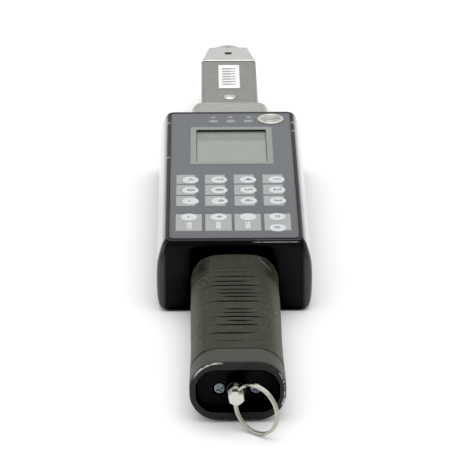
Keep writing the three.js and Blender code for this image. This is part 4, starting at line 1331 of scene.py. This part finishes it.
class Keys(bpy.types.Operator):
    """Seventeen round key caps, each with a flange, a stem and its printed mark"""

    bl_idname = "torque_wrench.keys"
    bl_label = "Keys"

    def execute(self, context):
        radius, edge = millimetres("key_radius"), millimetres("key_rounding")
        names = sorted(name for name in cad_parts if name.startswith("key_row"))
        for key in names:
            low, high = box_of(key)
            centre, top = (low + high) / 2, high[2]
            corners = [
                (0.0, top - 0.06),
                (radius * 0.6, top - 0.02),
                (radius, top),
                (radius, 35.7),
                (5.2, 35.7),
                (5.2, 35.0),
                (2.0, 35.0),
                (2.0, low[2]),
                (0.0, low[2]),
            ]
            profile = rounded_path(corners, [0, 1.2, edge, 0.1, 0.15, 0.15, 0.1, 0.2, 0], 5)
            cap = turned(profile, "z", (centre[0], centre[1]), 64)
            make("cap_" + key, [cap], "key_film", [key], key)
            if key in MARKS:
                printed_mark(MARKS[key], key, centre, top - 0.02)
        return {"FINISHED"}


class Badge(bpy.types.Operator):
    """Plain round badge with raised rings and a ring of short ticks"""

    bl_idname = "torque_wrench.badge"
    bl_label = "Badge"

    def execute(self, context):
        low, high = box_of("badge")
        centre, top = (low + high) / 2, high[2]
        radius = (high[0] - low[0]) / 2
        r, fall = disc_rings(radius, 0.3, 60, 0.25)
        angle = np.linspace(0, 2 * np.pi, 160, endpoint=False)
        rings = soft_band(r - 3.4, 0.22, 0.16) + soft_band(r - 6.0, 0.2, 0.16)
        ticks = soft_band(r - 4.75, 0.75, 0.16)[:, None] * np.clip(np.cos(20 * angle) * 3 - 0.6, 0, 1)
        height = -0.3 + 0.28 * (rings[:, None] + ticks) - fall[:, None] * 0.8
        x, y = r[:, None] * np.cos(angle), r[:, None] * np.sin(angle)
        x, y, z = with_foot(x, y, top + height, low[2])
        points = np.stack([centre[0] + x, centre[1] + y, z], -1)
        make("round_badge", [surface(points)], "badge_metal", ["badge"], sharp=45, even=False)
        return {"FINISHED"}


class Window(bpy.types.Operator):
    """Moulded display frame with a thin lip on the fascia, and three lamp windows with lips"""

    bl_idname = "torque_wrench.window"
    bl_label = "Display frame and lamps"

    def execute(self, context):
        low, high = box_of("display_frame")
        centre, half = (low + high) / 2, (high - low) / 2
        top = FASCIA_TOP + 0.16
        corners = [
            (half[0] + 0.3, half[1] + 0.3, 1.1, FASCIA_TOP + 0.02),
            (half[0] + 0.3, half[1] + 0.3, 1.1, top),
            (18.8, 22.7, 0.7, top),
            (18.8, 22.7, 0.7, low[2]),
            (half[0] - 0.1, half[1] - 0.1, 0.8, low[2]),
            (half[0] - 0.1, half[1] - 0.1, 0.8, FASCIA_TOP + 0.02),
        ]
        rows = rounded_path(corners, [0.05, 0.14, 0.35, 0.05, 0.05, 0.02], 5, closed=True)
        frame_shell = stack(rows, "z", (centre[0], centre[1]), True, 6, 5)
        make("moulded_display_frame", [frame_shell], "display_frame_film", ["display_frame"])
        for side in ("left", "middle", "right"):
            low, high = box_of("lamp_" + side)
            centre, half = (low + high) / 2, (high - low) / 2
            corners = [
                (0.2, 0.2, 0.1, low[2]),
                (half[0], half[1], 0.4, low[2]),
                (half[0], half[1], 0.4, FASCIA_TOP + 0.03),
                (half[0] + 0.32, half[1] + 0.32, 0.5, FASCIA_TOP + 0.03),
                (half[0] + 0.25, half[1] + 0.25, 0.5, FASCIA_TOP + 0.16),
                (half[0] - 0.6, half[1] - 0.6, 0.4, FASCIA_TOP + 0.28),
                (0.2, 0.2, 0.1, FASCIA_TOP + 0.32),
            ]
            rows = rounded_path(corners, [0, 0.1, 0, 0.03, 0.2, 0.6, 0], 4)
            lens = stack(rows, "z", (centre[0], centre[1]), False, 5, 3)
            make("lamp_window_" + side, [lens], "lamp_lens", ["lamp_" + side], sharp=50)
        return {"FINISHED"}


class Bar(bpy.types.Operator):
    """Collar, bar cover with its domed pin, and insert head with its socket"""

    bl_idname = "torque_wrench.bar"
    bl_label = "Collar, bar and head"

    def execute(self, context):
        bevel = millimetres("collar_rounding")
        corners = [
            (21.3, 14.4, 5.5, COLLAR_NEAR_Y),
            (21.3, 14.4, 5.5, COLLAR_FAR_Y),
            (10.1, 9.1, 2.0, COLLAR_FAR_Y),
            (10.1, 9.1, 2.0, COLLAR_FAR_Y - 4.8),
            (19.5, 12.8, 6.2, COLLAR_FAR_Y - 4.8),
            (19.5, 12.8, 6.2, COLLAR_NEAR_Y),
        ]
        rows = rounded_path(corners, [0.6, bevel, 0.3, 0, 0, 0.2], 7, closed=True)
        make("bar_collar", [stack(rows, "y", (0, AXIS_Z), True, 12, 4)], "collar_metal", ["collar"])

        far_edge = millimetres("cover_rounding")
        corners = [
            (*BAR_HALF, COVER_NEAR_Y),
            (*BAR_HALF, COVER_FAR_Y),
            (13.9, 12.0, 1.0, COVER_FAR_Y),
            (13.9, 12.0, 1.0, COVER_NEAR_Y),
        ]
        rows = rounded_path(corners, [0.4, far_edge, 0.2, 0.2], 6, closed=True)
        pin_hole = turned([(3.9, 26.5), (3.9, 31.5)], "z", (0, PIN_Y), 64)
        cover = stack(rows, "y", (0, AXIS_Z), True, 8, 4)
        make("cover", [cover], "cover_metal", ["bar_cover"], cuts=[pin_hole])

        low, high = box_of("domed_pin")
        top, radius = high[2], 3.62
        angle = np.linspace(0, 0.42, 12)
        across = radius * np.sin(angle) / math.sin(0.42)
        height = top - 0.75 * (1 - np.cos(angle)) / (1 - math.cos(0.42))
        dome = np.stack([across, height], axis=1)
        shoulder = [(radius + 0.03, height[-1] - 0.25), (radius + 0.03, low[2]), (0.0, low[2])]
        pin = turned(np.concatenate([dome, shoulder]), "z", (0, PIN_Y), 72)
        make("pin", [pin], "pin_steel", ["domed_pin"], sharp=40)

        turn = np.linspace(0, np.pi / 2, 8)
        edge = 0.8
        near = np.array(BAR_HALF) - np.array([0.25, edge, 0.8]) * (1 - np.sin(turn))[:, None]
        near = np.column_stack([near, HEAD_NEAR_Y + edge * (1 - np.cos(turn))])
        taper = [(*BAR_HALF, 187.0), (11.7, 14.0, 1.6, HEAD_FAR_Y), (0.3, 0.3, 0.2, HEAD_FAR_Y)]
        far = rounded_path(taper, [0, 0.45, 0], 5)
        rows = np.concatenate([[(0.3, 0.3, 0.2, HEAD_NEAR_Y)], near, far])
        walls = [
            (6.3, 4.8, 0.5, 190.5),
            (6.3, 4.8, 0.5, HEAD_FAR_Y - 0.5),
            (6.9, 5.4, 0.6, HEAD_FAR_Y + 0.8),
        ]
        socket = stack(walls, "y", (0, AXIS_Z))
        profile = [(0.0, 8.5), (2.1, 8.5), (2.1, 21.5), (2.2, 21.5), (2.2, 29.9), (2.4, 30.3), (0.0, 30.3)]
        hole = turned(profile, "z", (0, DETENT_Y), 64)
        body = stack(rows, "y", (0, AXIS_Z), False, 8, 4)
        make("head", [body], "head_steel", ["insert_head"], cuts=[socket, hole])
        return {"FINISHED"}


class RingEnd(bpy.types.Operator):
    """Ring-end insert: square shank, neck and a ring with a hexagonal hole"""

    bl_idname = "torque_wrench.ring_end"
    bl_label = "Ring-end insert"

    def execute(self, context):
        low, high = box_of("insert_tool")
        half = TOOL_HALF
        shank = [
            (5.7, 4.2, 0.4, low[1]),
            (5.7, 4.2, 0.4, 206.8),
            (4.0, 3.5, 1.2, 210.5),
            (4.0, 3.5, 1.2, 226.0),
        ]
        bar = stack(rounded_path(shank, [0, 1.0, 2.0, 0], 5), "y", (0, AXIS_Z), False, 8, 3)
        angle = np.linspace(0, 2 * np.pi, 144, endpoint=False)
        hexagon = polygon_radius(angle, 6, TOOL_FLATS)
        corners = [(1, AXIS_Z - half), (1, AXIS_Z + half), (0, AXIS_Z + half), (0, AXIS_Z - half)]
        profile = rounded_path(corners, [0.12, 0.12, 0.08, 0.08], 5, True)
        share, place = profile[:, :1], profile[:, 1:2]
        outer = TOOL_RADIUS - 0.42 * np.clip((np.abs(place - AXIS_Z) - half + 0.9) / 0.9, 0, 1) ** 2
        reach = hexagon[None, :] * (1 - share) + outer * share
        ring = shell(reach * np.cos(angle), reach * np.sin(angle), place, "z", (0, RING_Y), closed=True)
        across, up = np.stack([hexagon * np.cos(angle)] * 2), np.stack([hexagon * np.sin(angle)] * 2)
        bore = shell(across, up, np.array([[AXIS_Z - half - 1], [AXIS_Z + half + 1]]), "z", (0, RING_Y))
        make("ring_end", [bar], "tool_steel", ["insert_tool"], joins=[ring], cuts=[bore])
        return {"FINISHED"}


class DetentSpring(bpy.types.Operator):
    """Coil under the detent pin: wire centre at radius R,
    height = low + (high - low) s, angle = 2 pi N s, and the wire's circle stands square to R"""

    bl_idname = "torque_wrench.detent_spring"
    bl_label = "Detent spring"

    def execute(self, context):
        low, high = box_of("detent_spring")
        centre = (low + high) / 2
        mean = (high[0] - low[0]) / 2 - COIL_WIRE
        share = np.linspace(0, 1, 240)[:, None]
        around = np.linspace(0, 2 * np.pi, 12, endpoint=False)
        angle = 2 * np.pi * COIL_TURNS * share
        reach = mean + COIL_WIRE * np.cos(around)
        rise = high[2] - low[2]
        lift = low[2] + COIL_WIRE + (rise - 2 * COIL_WIRE) * share + COIL_WIRE * np.sin(around)
        across = centre[0] + reach * np.cos(angle)
        along = centre[1] + reach * np.sin(angle)
        points = np.stack([across, along, lift], -1)
        middles = points.mean(1, keepdims=True) + 0 * points
        coil = surface(np.concatenate([middles[:1], points, middles[-1:]]))
        spring = make("coil_spring", [coil], "tool_steel", ["detent_spring"], sharp=60, even=False)
        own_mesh(spring)
        return {"FINISHED"}


def area_light(name, place, width, height, power):
    """A soft rectangular light at a place, facing the wrench's origin."""
    data = bpy.data.lights.new(name, "AREA")
    data.shape = "RECTANGLE"
    data.size, data.size_y = width, height
    data.energy = power
    holder = bpy.data.objects.new(name, data)
    bpy.context.scene.collection.objects.link(holder)
    holder.location = place
    holder.rotation_euler = (-Vector(place)).to_track_quat("-Z", "Y").to_euler()


class Studio(bpy.types.Operator):
    """Pale floor, soft light from above and the camera"""

    bl_idname = "torque_wrench.studio"
    bl_label = "Studio"

    def execute(self, context):
        scene = context.scene
        t = np.linspace(-4, 4, FLOOR_STEPS)
        x, y = np.meshgrid(t, t, indexing="xy")
        points = np.stack([x, y, 0 * x - FLOOR_DEPTH], -1).reshape(-1, 3)
        index = np.arange(FLOOR_STEPS**2).reshape(FLOOR_STEPS, FLOOR_STEPS)
        corners = (index[:-1, :-1], index[:-1, 1:], index[1:, 1:], index[1:, :-1])
        quads = np.stack(corners, -1).reshape(-1, 4)
        mesh = bpy.data.meshes.new("floor")
        mesh.from_pydata(points.tolist(), [], quads.tolist())
        mesh.materials.append(floor_paper())
        link("floor", mesh)

        area_light("overhead_softbox", (0.12, 0.2, 1.7), 2.2, 2.2, 20.0)
        area_light("side_softbox", (-1.6, -0.5, 0.7), 0.8, 1.2, 2.5)

        world = bpy.data.worlds.new("studio")
        world.use_nodes = True
        background = world.node_tree.nodes["Background"]
        background.inputs["Color"].default_value = (0.98, 0.99, 1.0, 1.0)
        background.inputs["Strength"].default_value = 0.8
        scene.world = world
        scene.view_settings.view_transform = "Standard"
        scene.view_settings.use_curve_mapping = True
        curve = scene.view_settings.curve_mapping
        curve.black_level = (0.014, 0.014, 0.014)
        curve.update()

        elevation, heading = math.radians(CAMERA_ELEVATION), math.radians(CAMERA_HEADING)
        level = math.cos(elevation)
        forward = Vector((math.sin(heading) * level, math.cos(heading) * level, -math.sin(elevation)))
        right = Vector((math.cos(heading), -math.sin(heading), 0))
        up = right.cross(forward)
        data = bpy.data.cameras.new("camera")
        data.sensor_width = 36
        data.lens = CAMERA_LENS
        data.clip_end = 50
        camera = bpy.data.objects.new("camera", data)
        scene.collection.objects.link(camera)
        place = Matrix((right, up, -forward)).transposed().to_4x4()
        place.translation = Vector(CAMERA_PLACE)
        camera.matrix_world = place
        scene.camera = camera
        return {"FINISHED"}


OPERATORS = (
    CarriedOverFinishes,
    Housing,
    Grip,
    EndCap,
    Screws,
    Boss,
    Eyelet,
    SplitRing,
    Keys,
    Badge,
    Window,
    Bar,
    RingEnd,
    DetentSpring,
    Studio,
)


class WrenchPanel(bpy.types.Panel):
    """Lists the pieces of the torque wrench"""

    bl_idname = "VIEW3D_PT_torque_wrench"
    bl_label = "Torque wrench"
    bl_space_type = "VIEW_3D"
    bl_region_type = "UI"
    bl_category = "Torque wrench"

    def draw(self, context):
        for operator in OPERATORS:
            self.layout.operator(operator.bl_idname, text=operator.bl_label)
        for group in (context.scene.torque_wrench_sizes, context.scene.torque_wrench_colours):
            column = self.layout.column()
            for name in group.__annotations__:
                column.prop(group, name)


CLASSES = (WrenchSizes, WrenchColours, *OPERATORS, WrenchPanel)


def register():
    for made in CLASSES:
        bpy.utils.register_class(made)
    bpy.types.Scene.torque_wrench_sizes = bpy.props.PointerProperty(type=WrenchSizes)
    bpy.types.Scene.torque_wrench_colours = bpy.props.PointerProperty(type=WrenchColours)


def unregister():
    del bpy.types.Scene.torque_wrench_colours
    del bpy.types.Scene.torque_wrench_sizes
    for made in reversed(CLASSES):
        bpy.utils.unregister_class(made)


def main():
    register()
    for operator in OPERATORS:
        group, name = operator.bl_idname.split(".")
        getattr(getattr(bpy.ops, group), name)()


if __name__ == "__main__":
    main()
